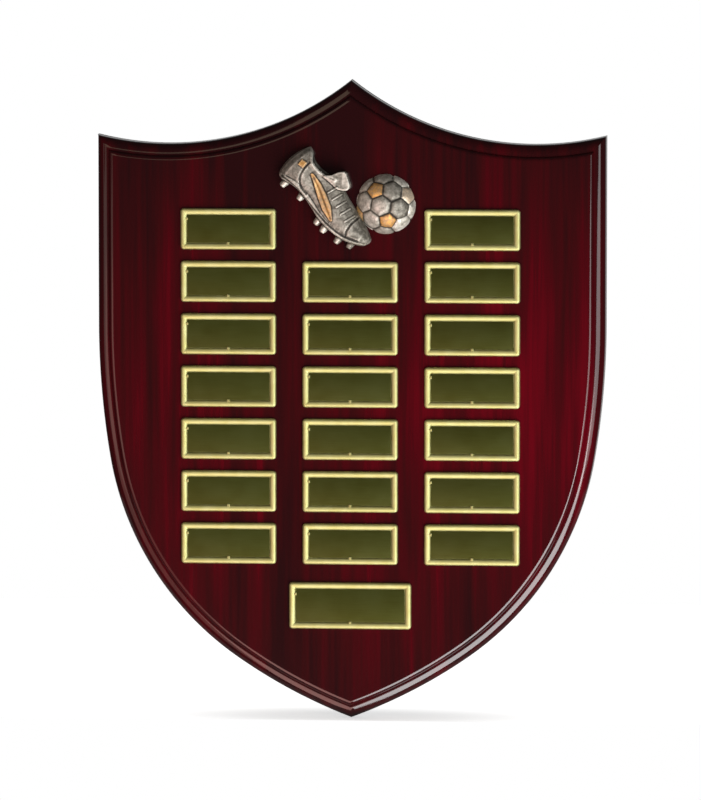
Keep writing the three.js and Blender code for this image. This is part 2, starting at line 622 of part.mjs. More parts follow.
// The tongue, folded over the laces, is a thick flap with rounded edges.
function bootTongue() {
  const curve = new THREE.SplineCurve([...TONGUE_SHARES, TONGUE_SHARES[0]].map(onBoot));
  const shape = new THREE.Shape(curve.getPoints(TONGUE_STEPS).slice(1));
  const flap = new THREE.ExtrudeGeometry(shape, {
    depth: TONGUE_HEIGHT + OVERRUN - TONGUE_EASE,
    bevelThickness: TONGUE_EASE,
    bevelSize: TONGUE_EASE,
    bevelOffset: -TONGUE_EASE,
    bevelSegments: 2,
  });
  return toSolid(flap.translate(0, 0, -OVERRUN));
}

// The boot's opening: the near wall ends at the collar line, and the far wall shows a little past it.
// Under the near wall a slot runs down into the boot.
function collarCut() {
  const line = new THREE.SplineCurve(COLLAR_SHARES.map(onBoot)).getPoints(COLLAR_STEPS);
  const beyond = line.map((p) => p.clone().add(new THREE.Vector2(BOOT_LENGTH / 4, BOOT_LENGTH / 2)));
  const inward = new THREE.Vector2(Math.cos(COLLAR_LEAN), Math.sin(COLLAR_LEAN));
  const within = line.map((p) => p.clone().addScaledVector(inward, COLLAR_DEPTH)).reverse();
  const nearWall = ARCH_SHARES[ARCH_SHARES.length - 1][2] * BOOT_RELIEF - COLLAR_WALL;
  const pastCollar = toSolid(prism([...line, ...beyond.reverse()], FAR_WALL, 2 * BOOT_RELIEF));
  const ankle = Math.round(line.length * HEEL_TAB_SHARE);
  const slot = toSolid(prism([...line.slice(ankle), ...within.slice(0, -ankle)], FAR_WALL, nearWall));
  return pastCollar.add(slot);
}

function boot() {
  const upper = toSolid(bootUpper(0)).subtract(collarCut());
  return union([upper, toSolid(bootSole()), overlays(), bootTongue(), ...bootStuds()]);
}

// Ball of the relief: panels from the twelve corners of an icosahedron and the middles of its thirty edges

function ballPanels() {
  const golden = (1 + Math.sqrt(5)) / 2;
  const signs = [1, -1];
  const aroundAxes = (a, b) => [[0, a, b * golden], [a, b * golden, 0], [b * golden, 0, a]];
  const poles = signs.flatMap((a) => signs.flatMap((b) => aroundAxes(a, b)))
    .map((corner) => new THREE.Vector3(...corner).normalize());
  const next = (a, b) => a !== b && a.dot(b) > 0;
  const faces = [];
  poles.forEach((a, i) => poles.slice(i + 1).forEach((b, j) => poles.slice(i + j + 2).forEach((c) => {
    if (next(a, b) && next(b, c) && next(a, c)) {
      faces.push({ poles: [a, b, c], middle: a.clone().add(b).add(c).normalize() });
    }
  })));
  const corner = (pole, face) => pole.clone().lerp(face.middle, PENTAGON_SHARE).normalize();
  const touching = (...wanted) => faces.filter((face) => wanted.every((pole) => face.poles.includes(pole)));
  const panel = (centre, corners) => ({ centre, corners: sortedRound(centre, corners) });
  const pentagons = poles.map((pole) => panel(pole, touching(pole).map((face) => corner(pole, face))));
  const hexagons = poles.flatMap((a, i) => poles.slice(i + 1).filter((b) => next(a, b)).map((b) => {
    const corners = touching(a, b).flatMap((face) => [face.middle, corner(a, face), corner(b, face)]);
    return panel(a.clone().add(b).normalize(), corners);
  }));
  return [...pentagons, ...hexagons];
}

// Corners in order round a panel's centre, anticlockwise from outside.
function sortedRound(centre, corners) {
  const across = corners[0].clone().projectOnPlane(centre).normalize();
  const up = centre.clone().cross(across);
  const angle = (p) => Math.atan2(p.dot(up), p.dot(across));
  return [...corners].sort((a, b) => angle(a) - angle(b));
}

// Each panel is a low pillow with a rounded seam at its edge.
function seamedBall() {
  const positions = [];
  const triangles = [];
  const add = (direction, radius) => {
    positions.push(...direction.clone().normalize().multiplyScalar(radius));
    return positions.length / 3 - 1;
  };
  for (const { centre, corners } of ballPanels()) {
    const between = (i) => corners[i].clone().lerp(corners[(i + 1) % corners.length], 1 / 2).normalize();
    const edge = corners.flatMap((p, i) => [p, between(i)]);
    const shoulderShare = SEAM_WIDTH / 2 / (BALL_RADIUS * edge[0].distanceTo(centre));
    const rings = [[0, BALL_RADIUS - SEAM_DEPTH], [shoulderShare, BALL_RADIUS], [1 / 2, BALL_RADIUS]]
      .map(([share, radius]) => edge.map((p) => add(p.clone().lerp(centre, share), radius)));
    const middle = add(centre, BALL_RADIUS);
    edge.forEach((_, i) => {
      const j = (i + 1) % edge.length;
      for (let ring = 0; ring + 1 < rings.length; ring++) {
        const [outer, inner] = [rings[ring], rings[ring + 1]];
        triangles.push(outer[i], outer[j], inner[j], outer[i], inner[j], inner[i]);
      }
      triangles.push(rings[2][i], rings[2][j], middle);
    });
  }
  const turn = new THREE.Euler(...BALL_TURN, 'ZYX');
  const ball = closed(positions, triangles);
  return ball.applyMatrix4(new THREE.Matrix4().makeRotationFromEuler(turn));
}

function relief() {
  const below = toSolid(box(SHIELD_WIDTH, SHIELD_HEIGHT, -2 * BALL_RADIUS, 0));
  const baseRadius = Math.sqrt(BALL_RADIUS ** 2 - (BALL_RADIUS - BALL_RELIEF) ** 2);
  const bearing = new THREE.Vector2(Math.cos(BALL_BEARING), Math.sin(BALL_BEARING));
  const middle = onBoot(BALL_SEAT_SHARE).addScaledVector(bearing, baseRadius - JOIN_DEPTH);
  const ball = seamedBall().rotateZ(-BOOT_TILT).translate(middle.x, middle.y, BALL_RELIEF - BALL_RADIUS);
  const casting = toGeometry(union([boot(), toSolid(ball)]).subtract(below));
  const heel = onBoot(HEEL_SHARE);
  return casting.rotateZ(BOOT_TILT).translate(heel.x, rowY(1) + TRAY_HEIGHT / 2 + CASTING_GAP + heel.y, 0);
}

// Assembly

const trophy = new THREE.Group();
trophy.rotation.x = Math.PI / 2;

function place(name, geometry, material, x, y, z) {
  const mesh = new THREE.Mesh(geometry, material);
  mesh.name = name;
  mesh.position.set(x, y, z);
  trophy.add(mesh);
}

place('shield_board', shieldBoard(), lacqueredRosewood, 0, 0, 0);

const onTape = FACE + TAPE_THICKNESS;
const winnerTray = tray(TRAY_WIDTH, TRAY_HEIGHT);
const winnerPlate = engravingPlate(TRAY_WIDTH, TRAY_HEIGHT);
let number = 0;
for (let row = 0; row < ROW_COUNT; row++) {
  for (const column of COLUMNS) {
    if (row === 0 && column === 0) continue; // the relief takes this place
    number += 1;
    const label = String(number).padStart(2, '0');
    place(`winner_frame_${label}`, winnerTray, goldRim, column * columnPitch, rowY(row), onTape);
    place(`winner_plate_${label}`, winnerPlate, brushedBrass, column * columnPitch, rowY(row), onTape);
  }
}
place('title_frame', tray(TITLE_WIDTH, TITLE_HEIGHT), goldRim, 0, titleY, onTape);
place('title_plate', engravingPlate(TITLE_WIDTH, TITLE_HEIGHT), brushedBrass, 0, titleY, onTape);

place('boot_and_ball_casting', relief(), castSilver, 0, 0, onTape);

place('keyhole_hanger', keyholeHanger(), zincSteel, 0, 0, 0);
const screw = hangerScrew();
place('hanger_screw_upper', screw, zincSteel, 0, hanger.screws[0], 0);
place('hanger_screw_lower', screw, zincSteel, 0, hanger.screws[1], 0);

export default trophy;
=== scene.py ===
# %% [markdown]
# # A perpetual trophy shield
#
# This trophy hangs on a wall for years, and every year one more small plate is engraved.
# It is a board in the shape of a shield with a moulded edge, in high-gloss rosewood lacquer. On it
# sit twenty small framed plates, one larger title plate, and a cast football boot with its ball.
# The CAD model gives each piece its place and size. Here the same pieces get the fine shape and
# the finish that the eye expects.

# %% Load the frame and note its size
import math

import bmesh
import bpy
import numpy as np
from mathutils import Matrix, Vector


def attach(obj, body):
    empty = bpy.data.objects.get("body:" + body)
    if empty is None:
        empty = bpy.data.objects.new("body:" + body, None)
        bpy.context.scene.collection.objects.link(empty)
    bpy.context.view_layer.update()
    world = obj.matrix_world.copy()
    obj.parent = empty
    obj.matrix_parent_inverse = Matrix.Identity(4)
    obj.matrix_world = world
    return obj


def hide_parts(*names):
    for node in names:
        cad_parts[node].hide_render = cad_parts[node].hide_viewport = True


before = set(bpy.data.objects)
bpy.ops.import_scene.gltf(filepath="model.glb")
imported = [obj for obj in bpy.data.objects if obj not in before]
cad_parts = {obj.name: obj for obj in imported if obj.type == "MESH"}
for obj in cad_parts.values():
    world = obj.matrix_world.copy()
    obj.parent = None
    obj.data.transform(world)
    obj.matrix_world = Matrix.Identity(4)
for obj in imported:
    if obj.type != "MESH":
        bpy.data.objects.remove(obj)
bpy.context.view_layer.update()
scene = bpy.context.scene
print("CAD nodes:", len(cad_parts))

# %% [markdown]
# ## The camera
#
# A catalogue photograph like this one is taken from far away with a long lens, so that the upright
# sides stay upright. Two small clues give the direction: the face of the board is shifted a little
# to the left of its back edge, and a little down. So the camera stands slightly to the right and
# slightly above.

# %% Camera
CAMERA_AZIMUTH = math.radians(4.8)
CAMERA_ELEVATION = math.radians(5.0)
CAMERA_DISTANCE = 4.0
CAMERA_LENS, CAMERA_SENSOR = 288.45, 36  # in mm; the sensor's long side is the picture's long side
AIM = Vector((-0.0001, -0.015, -0.1297))

towards_camera = Vector((
    math.sin(CAMERA_AZIMUTH) * math.cos(CAMERA_ELEVATION),
    -math.cos(CAMERA_AZIMUTH) * math.cos(CAMERA_ELEVATION),
    math.sin(CAMERA_ELEVATION),
))
camera_data = bpy.data.cameras.new("camera")
camera_data.lens = CAMERA_LENS
camera_data.sensor_width = CAMERA_SENSOR
camera = bpy.data.objects.new("camera", camera_data)
camera.location = AIM + towards_camera * CAMERA_DISTANCE
camera.rotation_euler = towards_camera.to_track_quat("Z", "Y").to_euler()
scene.collection.objects.link(camera)
scene.camera = camera
scene.view_settings.view_transform = "Standard"
print("camera at", [round(v, 3) for v in camera.location])

# %% [markdown]
# ## Points, meshes and cuts
#
# A shield is easiest to draw as it hangs, looking straight at the wall: how far right, how far up,
# and how far out of the wall, in millimetres. One function stands those points up in the frame.
# Another joins stacked outlines into a closed skin, which is how a router or a press shapes an edge.

# %% From the plane of the wall to the frame
MM = 0.001


def stand_up(points):
    """Points as (right, up, out of the wall) in millimetres become points of the frame."""
    right, up, out = np.asarray(points, float).T
    return np.column_stack([right, -out, up]) * MM


def make_mesh(name, points, faces):
    """A new object whose faces all point outwards; its place is in its mesh."""
    mesh = bpy.data.meshes.new(name)
    mesh.from_pydata(stand_up(points).tolist(), [], faces)
    piece = bpy.data.objects.new(name, mesh)
    scene.collection.objects.link(piece)
    work = bmesh.new()
    work.from_mesh(mesh)
    bmesh.ops.remove_doubles(work, verts=work.verts, dist=MM / 1000)
    bmesh.ops.recalc_face_normals(work, faces=work.faces)
    work.to_mesh(mesh)
    work.free()
    return piece


print("one mm right, up and out of the wall is, in the frame:", stand_up(np.eye(3)).tolist())


# %% Skins from stacked outlines
def skin(rings):
    """Points and faces of a closed skin over outlines that have the same number of points."""
    count = len(rings[0])
    faces = []
    for ring in range(len(rings) - 1):
        for i in range(count):
            a, b = ring * count + i, ring * count + (i + 1) % count
            faces.append((a, b, b + count, a + count))
    faces.append(tuple(reversed(range(count))))
    faces.append(tuple(range((len(rings) - 1) * count, len(rings) * count)))
    return np.concatenate(rings), faces


def at_height(outline, out):
    """A flat outline, lifted off the wall."""
    return np.column_stack([outline, np.full(len(outline), out)])


def arc(centre, radius, start, end, steps):
    """Points along an arc, both ends included."""
    angles = np.linspace(start, end, steps + 1)
    return np.column_stack([centre[0] + radius * np.cos(angles), centre[1] + radius * np.sin(angles)])


def circle(centre, radius, steps):
    """The outline of a circle, anticlockwise."""
    return arc(centre, radius, 0, 2 * math.pi, steps)[:-1]


def rounded_rectangle(width, height, corner, steps):
    """The outline of a rectangle with round corners, anticlockwise."""
    x, y = width / 2 - corner, height / 2 - corner
    quarter = math.pi / 2
    corners = []
    for turn, middle in enumerate([(x, y), (-x, y), (-x, -y), (x, -y)]):
        corners.append(arc(middle, corner, turn * quarter, (turn + 1) * quarter, steps))
    return np.concatenate(corners)


print("a rectangle whose round corners take 4 steps has", len(rounded_rectangle(2, 1, 1 / 4, 4)), "points")


# %% Finished meshes
def settle(piece):
    """Turns a piece and its modifiers into one plain mesh."""
    graph = bpy.context.evaluated_depsgraph_get()
    mesh = bpy.data.meshes.new_from_object(piece.evaluated_get(graph))
    piece.modifiers.clear()
    piece.data = mesh


def cut(piece, cutters):
    """Takes each cutter out of the piece and throws the cutter away."""
    for cutter in cutters:
        tool = piece.modifiers.new("cut", "BOOLEAN")
        tool.object = cutter
        tool.solver = "EXACT"
        tool.material_mode = "TRANSFER"
        settle(piece)
        bpy.data.objects.remove(cutter)


def smooth(piece, angle=30):
    """Smooth shading, with edges left crisp where faces meet at more than the angle."""
    piece.data.shade_smooth()
    piece.data.set_sharp_from_angle(angle=math.radians(angle))


def hand_over(piece, nodes):
    """The piece rides on the part's one body and stands for its CAD nodes."""
    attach(piece, "root")
    if nodes:
        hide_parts(*nodes)
    piece.data.calc_loop_triangles()
    print(piece.name, "stands for", len(nodes), "nodes,", len(piece.data.loop_triangles), "triangles")


# %% [markdown]
# ## Colours and nodes
#
# Colours are written the way a painter's colour card or a web page gives them, as sRGB hex values.
# Blender mixes light in linear values, so one function does the conversion. Another function adds a
# node to a material together with its settings and links, which keeps each recipe short. The size
# of a pattern is always given in millimetres, as one would measure it on the object.

# %% Colour and node helpers
def linear(code):
    """A colour such as 8C2A1B in Blender's linear values."""
    channels = [int(code[i:i + 2], 16) / 255 for i in (0, 2, 4)]
    curve = [c / 12.92 if c <= 0.04045 else ((c + 0.055) / 1.055) ** 2.4 for c in channels]
    return (*curve, 1.0)


def per_metre(size):
    """The scale at which a pattern's features have this size in millimetres."""
    return 1 / (size * MM)


def set_inputs(tree, node, inputs):
    """Sets inputs by name. Each takes a plain value, an output socket, or a node for its first output."""
    for name, value in inputs.items():
        if isinstance(value, bpy.types.Node):
            value = value.outputs[0]
        if isinstance(value, bpy.types.NodeSocket):
            tree.links.new(value, node.inputs[name])
        else:
            node.inputs[name].default_value = value


def add_node(tree, kind, inputs=None, stops=(), **settings):
    """Adds a node with its settings and inputs. Stops are the (position, hex colour) pairs of a ramp."""
    node = tree.nodes.new(kind)
    for name, value in settings.items():
        setattr(node, name, value)
    if stops:
        elements = node.color_ramp.elements
        while len(elements) < len(stops):
            elements.new(0.5)
        for element, (position, code) in zip(elements, stops):
            element.position = position
            element.color = linear(code)
    set_inputs(tree, node, inputs or {})
    return node


def new_material(name):
    """A material with its node tree, its shader and a socket of Object coordinates."""
    material = bpy.data.materials.new(name)
    material.use_nodes = True
    tree = material.node_tree
    shader = tree.nodes["Principled BSDF"]
    place = add_node(tree, "ShaderNodeTexCoord").outputs["Object"]
    print("making", name)
    return material, tree, shader, place


print("a middle grey 808080 is", round(linear("808080")[0], 3), "in linear values")


# %% [markdown]
# ## Rosewood under piano lacquer
#
# The board is fibreboard with a rosewood finish: a dark red-brown stain with upright streaks, then
# several coats of clear lacquer polished like a piano. The colour is deep because it lies under the
# lacquer, and all the shine comes from the coat. So the wood itself is rough, and a second, smooth
# clear layer lies over it. Streaks run the whole height, so the noise that makes them is stretched
# upwards. Painted light is added to the stain: it is lighter round a spot at the lower right, on the
# side of the low lamp, and painted shade makes it darker further away, most at the top left.

# %% Lacquered rosewood
# Wood stained dark red and polished under lacquer: deep, streaked red with the lamps mirrored on top;
# painted light makes it lighter at the lower right and darker away from there
rosewood, tree, shader, place = new_material("lacquered_rosewood")
STREAKS = [  # name, width and length of a streak in mm, where its pattern starts, fineness
    ("broad", 38.46, 416.7, (5.7, 0.0, 0.7), 2.0),
    ("streak", 11.36, 181.8, (11.9, 0.0, 2.3), 2.5),
    ("fine", 2.381, 83.33, (1.7, 0.0, 5.1), 3.0),
]
STREAK_SHARE, FINE_SHARE = 0.55, 0.22  # how much each layer adds to the one before
LIT_SPOT_PLACE = (120, -140, 18)  # centre of the painted light: right, up and out of the wall, in mm
LIT_SPOT_SQUEEZE = (0.35, 1.0, 0.7)  # the painted light patch is longer across than up
LIT_SPOT_REACH = (20, 140)  # the painted light turns into painted shade between these distances, in squeezed mm
# painted light added to the tone near the spot, and painted shade far from it
LIT_SPOT_LIGHTEN, LIT_SPOT_SHADE = 0.07, -0.13

tones = {}
for layer, width, length, start, detail in STREAKS:
    size = (per_metre(width), per_metre(width), per_metre(length))
    stretched = add_node(tree, "ShaderNodeMapping", {"Vector": place, "Scale": size, "Location": start})
    tones[layer] = add_node(tree, "ShaderNodeTexNoise", {
        "Vector": stretched, "Scale": 1.0, "Detail": detail, "Roughness": 0.5,
        "Distortion": 0.25})
coarse = add_node(tree, "ShaderNodeMix", {
    0: STREAK_SHARE, 2: tones["broad"], 3: tones["streak"]}, data_type="FLOAT")
grain = add_node(tree, "ShaderNodeMix", {
    0: FINE_SHARE, 2: coarse, 3: tones["fine"]}, data_type="FLOAT")
# Painted light: the stain is made lighter round a spot at the lower right and darker away from it
lit_spot = tuple(stand_up([LIT_SPOT_PLACE])[0] * LIT_SPOT_SQUEEZE)
squeezed = add_node(tree, "ShaderNodeVectorMath", {0: place, 1: LIT_SPOT_SQUEEZE}, operation="MULTIPLY")
from_lit_spot = add_node(tree, "ShaderNodeVectorMath", {
    0: squeezed, 1: lit_spot}, operation="DISTANCE")
cloud = add_node(tree, "ShaderNodeMapRange", {
    "Value": from_lit_spot.outputs["Value"], "From Min": LIT_SPOT_REACH[0] * MM, "From Max": LIT_SPOT_REACH[1] * MM,
    "To Min": LIT_SPOT_LIGHTEN, "To Max": LIT_SPOT_SHADE})
tone = add_node(tree, "ShaderNodeMath", {0: grain, 1: cloud}, operation="ADD")
wood = add_node(tree, "ShaderNodeValToRGB", {"Fac": tone}, stops=[
    (0.34, "210709"), (0.45, "300609"), (0.55, "3F030A"), (0.66, "55020E")])
set_inputs(tree, shader, {
    "Base Color": wood, "Roughness": 0.6, "Specular IOR Level": 0.0,
    "Coat Weight": 1.0, "Coat Roughness": 0.1, "Coat IOR": 1.6})
print("layers of streaks:", list(tones), "- heart at", [round(v, 3) for v in lit_spot])

# %% [markdown]
# ## The outline of the shield
#
# Each half of the outline is a chain of arcs: the hollow at the top, a straight side, a long flank,
# a tighter belly and the curve into the point. The moulding follows it at a growing distance. If
# every arc keeps its centre and only its radius changes, the inner outlines stay true offsets, and
# the corners meet in clean mitres, as they do where a router turns the corner.

# %% Shield outline
SHIELD_HEIGHT = 400
SHIELD_WIDTH = 318
TOP = 70  # height of the top point over the hanging screw
HOLLOW_DEPTH = 40
HOLLOW_PLACE = 114.48
BEND_DROP = 153.04
FLANK_RADIUS = 501
FLANK_TURN, BELLY_TURN, TIP_TURN = np.radians([9.6, 55, 69.5])


def outward(turn):
    """The direction in which the outline faces, turned from level by that much."""
    return np.array([math.cos(turn), -math.sin(turn)])


def cross(a, b):
    return a[0] * b[1] - a[1] * b[0]


half_width = SHIELD_WIDTH / 2
hollow_radius = (HOLLOW_PLACE ** 2 + HOLLOW_DEPTH ** 2) / (2 * HOLLOW_DEPTH)
hollow = np.array([HOLLOW_PLACE, TOP - HOLLOW_DEPTH + hollow_radius])
flank = np.array([half_width - FLANK_RADIUS, TOP - BEND_DROP])
belly_chord = outward(BELLY_TURN) - outward(FLANK_TURN)
tip_chord = outward(TIP_TURN) - outward(BELLY_TURN)
left_to_go = np.array([0, TOP - SHIELD_HEIGHT]) - flank - FLANK_RADIUS * outward(FLANK_TURN)
belly_radius = cross(left_to_go, tip_chord) / cross(belly_chord, tip_chord)
tip_radius = cross(belly_chord, left_to_go) / cross(belly_chord, tip_chord)
belly = flank + (FLANK_RADIUS - belly_radius) * outward(FLANK_TURN)
tip = belly + (belly_radius - tip_radius) * outward(BELLY_TURN)
print("belly and tip radius in mm:", round(belly_radius, 1), round(tip_radius, 1))


def shield_outline(inset):
    """The shield's outline, moved inwards."""
    hollow_r, tip_r = hollow_radius + inset, tip_radius - inset
    at_middle = -math.acos(-hollow[0] / hollow_r)
    at_shoulder = -math.acos((half_width - inset - hollow[0]) / hollow_r)
    right = np.concatenate([
        arc(hollow, hollow_r, at_middle, at_shoulder, 48),
        arc(flank, FLANK_RADIUS - inset, 0, -FLANK_TURN, 16),
        arc(belly, belly_radius - inset, -FLANK_TURN, -BELLY_TURN, 40)[1:],
        arc(tip, tip_r, -BELLY_TURN, -math.acos(-tip[0] / tip_r), 28)[1:],
    ])
    right[0][0] = right[-1][0] = 0
    left = right[-2:0:-1] * [-1, 1]
    return np.concatenate([right, left])


# %% Board with its two-step moulding
BOARD_THICKNESS = 18
BACK_EDGE_EASE = 0.6
OVOLO_RADIUS = 6.9
FILLET_WIDTH = 0.6
STEP_WIDTH = 3.2
STEP_HEIGHT = 2.4
LAND = BOARD_THICKNESS - STEP_HEIGHT - OVOLO_RADIUS
STEP_SHARES = [
    (0.00, 0.00), (0.14, 0.30), (0.24, 0.55), (0.36, 0.73), (0.50, 0.86), (0.62, 0.93), (0.76, 0.975),
    (0.90, 0.995), (1.00, 1.00),
]


def quarter_round(radius, bottom, steps):
    """A quarter round as (inset, height) pairs, from its outer foot up to its inner edge."""
    angles = np.linspace(0, math.pi / 2, steps + 1)
    return [(radius - radius * math.cos(a), bottom + radius * math.sin(a)) for a in angles]


profile = [
    (BACK_EDGE_EASE, 0),
    (0, BACK_EDGE_EASE),
    *quarter_round(OVOLO_RADIUS, LAND, 20),
    *[(OVOLO_RADIUS + FILLET_WIDTH + STEP_WIDTH * width, LAND + OVOLO_RADIUS + STEP_HEIGHT * height)
      for width, height in STEP_SHARES],
]
board = make_mesh("shield_board_fine", *skin([at_height(shield_outline(i), z) for i, z in profile]))
print("board outline points:", len(shield_outline(0)), "in", len(profile), "outlines")

# %% [markdown]
# ## The back
#
# Nobody photographs the back, but a stranger who hangs the shield needs it. It has one machined
# recess for a keyhole hanger and a deeper pocket behind it for the screw's head. The back is painted
# with a dark sealer. Inside the recess the cutter has opened the board, so there the plain brown
# fibres show. A cut in Blender can bring its own material, just as a real cutter shows fresh wood.

# %% Sealed back and open fibreboard
def mottled(name, size, detail, tones, roughness, others=None):
    """A material that wanders between two tones, over patches of this size in millimetres.
    Its roughness is one value, or a pair between which it wanders with the tone."""
    material, tree, shader, place = new_material(name)
    noise = add_node(tree, "ShaderNodeTexNoise", {
        "Vector": place, "Scale": per_metre(size), "Detail": detail})
    tone = add_node(tree, "ShaderNodeValToRGB", {"Fac": noise}, stops=list(zip((0.3, 0.7), tones)))
    if isinstance(roughness, tuple):
        low, high = roughness
        roughness = add_node(tree, "ShaderNodeMapRange", {"Value": noise, "To Min": low, "To Max": high})
    set_inputs(tree, shader, {"Base Color": tone, "Roughness": roughness, **(others or {})})
    return material, tree, shader, noise


# Rolled-on sealer: dull and slightly mottled, as the roller leaves it
GRIT_DEPTH = 0.2
sealer, tree, shader, mottle = mottled(
    "dark_board_sealer", size=3.85, detail=4.0, tones=("281A17", "3C2823"), roughness=0.62)
grit = add_node(tree, "ShaderNodeBump", {"Height": mottle, "Strength": 0.25, "Distance": GRIT_DEPTH * MM})
set_inputs(tree, shader, {"Normal": grit})

# Stain sprayed on the sides with little lacquer: an even dark red with a satin sheen
side_stain, *_ = mottled(
    "satin_side_stain", size=8.33, detail=3.0, tones=("1C0608", "2C080C"), roughness=0.5,
    others={"Specular IOR Level": 0.25})

# Fibreboard freshly cut: pale, matt and speckled by its fibres
fibreboard, tree, shader, fibres = mottled(
    "cut_fibreboard", size=1.11, detail=6.0, tones=("7A5A3C", "A9855C"), roughness=0.9)
set_inputs(tree, fibres, {"Roughness": 0.7})
print("the back has", [one.name for one in (sealer, side_stain, fibreboard)])

# %% Recess, pocket and screw bores
HANGER_WIDTH, HANGER_LENGTH, HANGER_MIDDLE = 22, 44.1, -7
HANGER_THICKNESS = 2
HANGER_CORNER = 3
HANGER_CLEARANCE = 0.3
SLOT_WIDTH, SLOT_TRAVEL, ENTRY_DIAMETER = 5, 14, 10.5
POCKET_RADIUS, POCKET_DEPTH = 6.85, 8.3
SCREW_PLACES = (10.45, -24.45)
BORE_RADIUS, BORE_DEPTH = 1.6, 12.4
PAST = 1  # every cutter runs this far past what it cuts


def block(name, outline, low, high, material):
    """A straight-sided solid between two heights, to keep or to cut with."""
    piece = make_mesh(name, *skin([at_height(outline, low), at_height(outline, high)]))
    piece.data.materials.append(material)
    return piece


def keyhole(slot_radius, entry_radius, steps):
    """A slot with a round top at the hanging point and a wider round entry below it."""
    neck = math.asin(slot_radius / entry_radius)
    entry = arc((0, -SLOT_TRAVEL), entry_radius, math.pi / 2 + neck, 5 * math.pi / 2 - neck, 2 * steps)
    return np.concatenate([arc((0, 0), slot_radius, 0, math.pi, steps), entry])


def hanger_outline(extra):
    """The hanger's rounded outline, made larger all round."""
    size = (HANGER_WIDTH + 2 * extra, HANGER_LENGTH + 2 * extra)
    return rounded_rectangle(*size, HANGER_CORNER + extra, 10) + [0, HANGER_MIDDLE]


board.data.materials.append(rosewood)
recess_depth = HANGER_THICKNESS + HANGER_CLEARANCE
cut(board, [
    block("recess", hanger_outline(HANGER_CLEARANCE), -PAST, recess_depth, fibreboard),
    block("pocket", keyhole(POCKET_RADIUS, POCKET_RADIUS, 32), -PAST, POCKET_DEPTH, fibreboard),
    *[block("bore", circle((0, y), BORE_RADIUS, 32), -PAST, BORE_DEPTH, fibreboard) for y in SCREW_PLACES],
])
print("faces of the board after the cuts:", len(board.data.polygons))

# %% Paint the back and hand the board over
board.data.materials.append(sealer)
board.data.materials.append(side_stain)
sealer_index, side_index = [board.data.materials.find(one.name) for one in (sealer, side_stain)]
WALL_PLANE = 0.1
LEAN = 0.01  # how far a normal may lean and still count as square or level
for face in board.data.polygons:
    if face.normal.y > 1 - LEAN and abs(face.center.y) < WALL_PLANE * MM:
        face.material_index = sealer_index
    elif abs(face.normal.y) < LEAN and -LAND * MM < face.center.y and face.area > MM ** 2:
        face.material_index = side_index
smooth(board)
hand_over(board, ["shield_board"])

# %% [markdown]
# ## Hanger and screws
#
# The keyhole hanger is stamped from zinc-plated steel sheet and let in flush with the back. The wall
# screw's head goes in at the wide hole and the shield slides down over the slot. Zinc plating is a
# dull, bluish grey with cloudy crystals, so its tone and its roughness wander by a few millimetres.

# %% Zinc-plated steel
# Zinc laid on steel in a bath: a dull bluish grey, clouded by its crystals
zinc, *_ = mottled(
    "zinc_plated_steel", size=4.17, detail=4.0, tones=("8F959B", "B4B9BD"), roughness=(0.3, 0.5),
    others={"Metallic": 1.0})
print("nodes in the zinc:", len(zinc.node_tree.nodes))

# %% Keyhole hanger with countersunk holes
SCREW_LENGTH, SHANK_RADIUS, HEAD_RADIUS, HEAD_HEIGHT, HEAD_SUNK = 12, 1.4, 2.8, 1.5, 0.2
SCREW_CLEARANCE = 0.2
STAMPED_EDGE = 0.15


def turned(profile, centre, steps):
    """Rings of a turned form from its (radius, out) profile."""
    return [at_height(circle((0, 0), 1, steps) * radius + centre, out) for radius, out in profile]


head_hole, shank_hole = HEAD_RADIUS + SCREW_CLEARANCE, SHANK_RADIUS + SCREW_CLEARANCE
countersink = [
    (head_hole, -PAST), (head_hole, HEAD_SUNK),
    (shank_hole, HEAD_SUNK + HEAD_HEIGHT), (shank_hole, HANGER_THICKNESS + PAST),
]
hanger = block("hanger_fine", hanger_outline(0), 0, HANGER_THICKNESS, zinc)
keyhole_shape = keyhole(SLOT_WIDTH / 2, ENTRY_DIAMETER / 2, 24)
cut(hanger, [
    block("keyhole", keyhole_shape, -PAST, HANGER_THICKNESS + PAST, zinc),
    *[make_mesh("countersink", *skin(turned(countersink, (0, y), 48))) for y in SCREW_PLACES],
])
edge_break = hanger.modifiers.new("stamped edge", "BEVEL")
edge_break.width, edge_break.segments, edge_break.limit_method = STAMPED_EDGE * MM, 2, "ANGLE"
settle(hanger)
smooth(hanger)
hand_over(hanger, ["keyhole_hanger"])

# %% [markdown]
# The two wood screws are hidden to their heads, but an exploded view shows them. A rolled thread is a
# ridge that climbs one pitch each turn: at every height the ridge is found further round.

# %% Wood screws
THREAD_PITCH, THREAD_CORE, THREAD_CREST = 1.3, 1.1, 1.45
DRIVE_LENGTH, DRIVE_WIDTH, DRIVE_DEPTH = 3.4, 1, 1.1
POINT_LENGTH = 4 * SHANK_RADIUS
POINT_BLUNT = 1 / POINT_LENGTH  # the very point keeps this share of the full thickness
SCREW_SIDES, SCREW_STEPS = 40, 120


def screw_rings(y):
    """Rings of a screw from its head to its point, with the ridge of the thread turned round it."""
    neck, end = HEAD_SUNK + HEAD_HEIGHT, HEAD_SUNK + SCREW_LENGTH
    head = [(HEAD_RADIUS, HEAD_SUNK), (HEAD_RADIUS, 2 * HEAD_SUNK), (SHANK_RADIUS, neck)]
    rings = turned(head, (0, y), SCREW_SIDES)
    angles = np.linspace(0, 2 * math.pi, SCREW_SIDES, endpoint=False)
    for out in np.linspace(neck, end, SCREW_STEPS + 1)[1:]:
        round_share = (out / THREAD_PITCH - angles / (2 * math.pi)) % 1
        ridge = np.clip(1 - 3 * np.abs(round_share - 1 / 2), 0, 1)
        slim = min(1, (end - out) / POINT_LENGTH + POINT_BLUNT)
        radius = slim * (THREAD_CORE + (THREAD_CREST - THREAD_CORE) * ridge)
        flat = np.column_stack([np.cos(angles), np.sin(angles)]) * radius[:, None] + [0, y]
        rings.append(at_height(flat, out))
    return rings


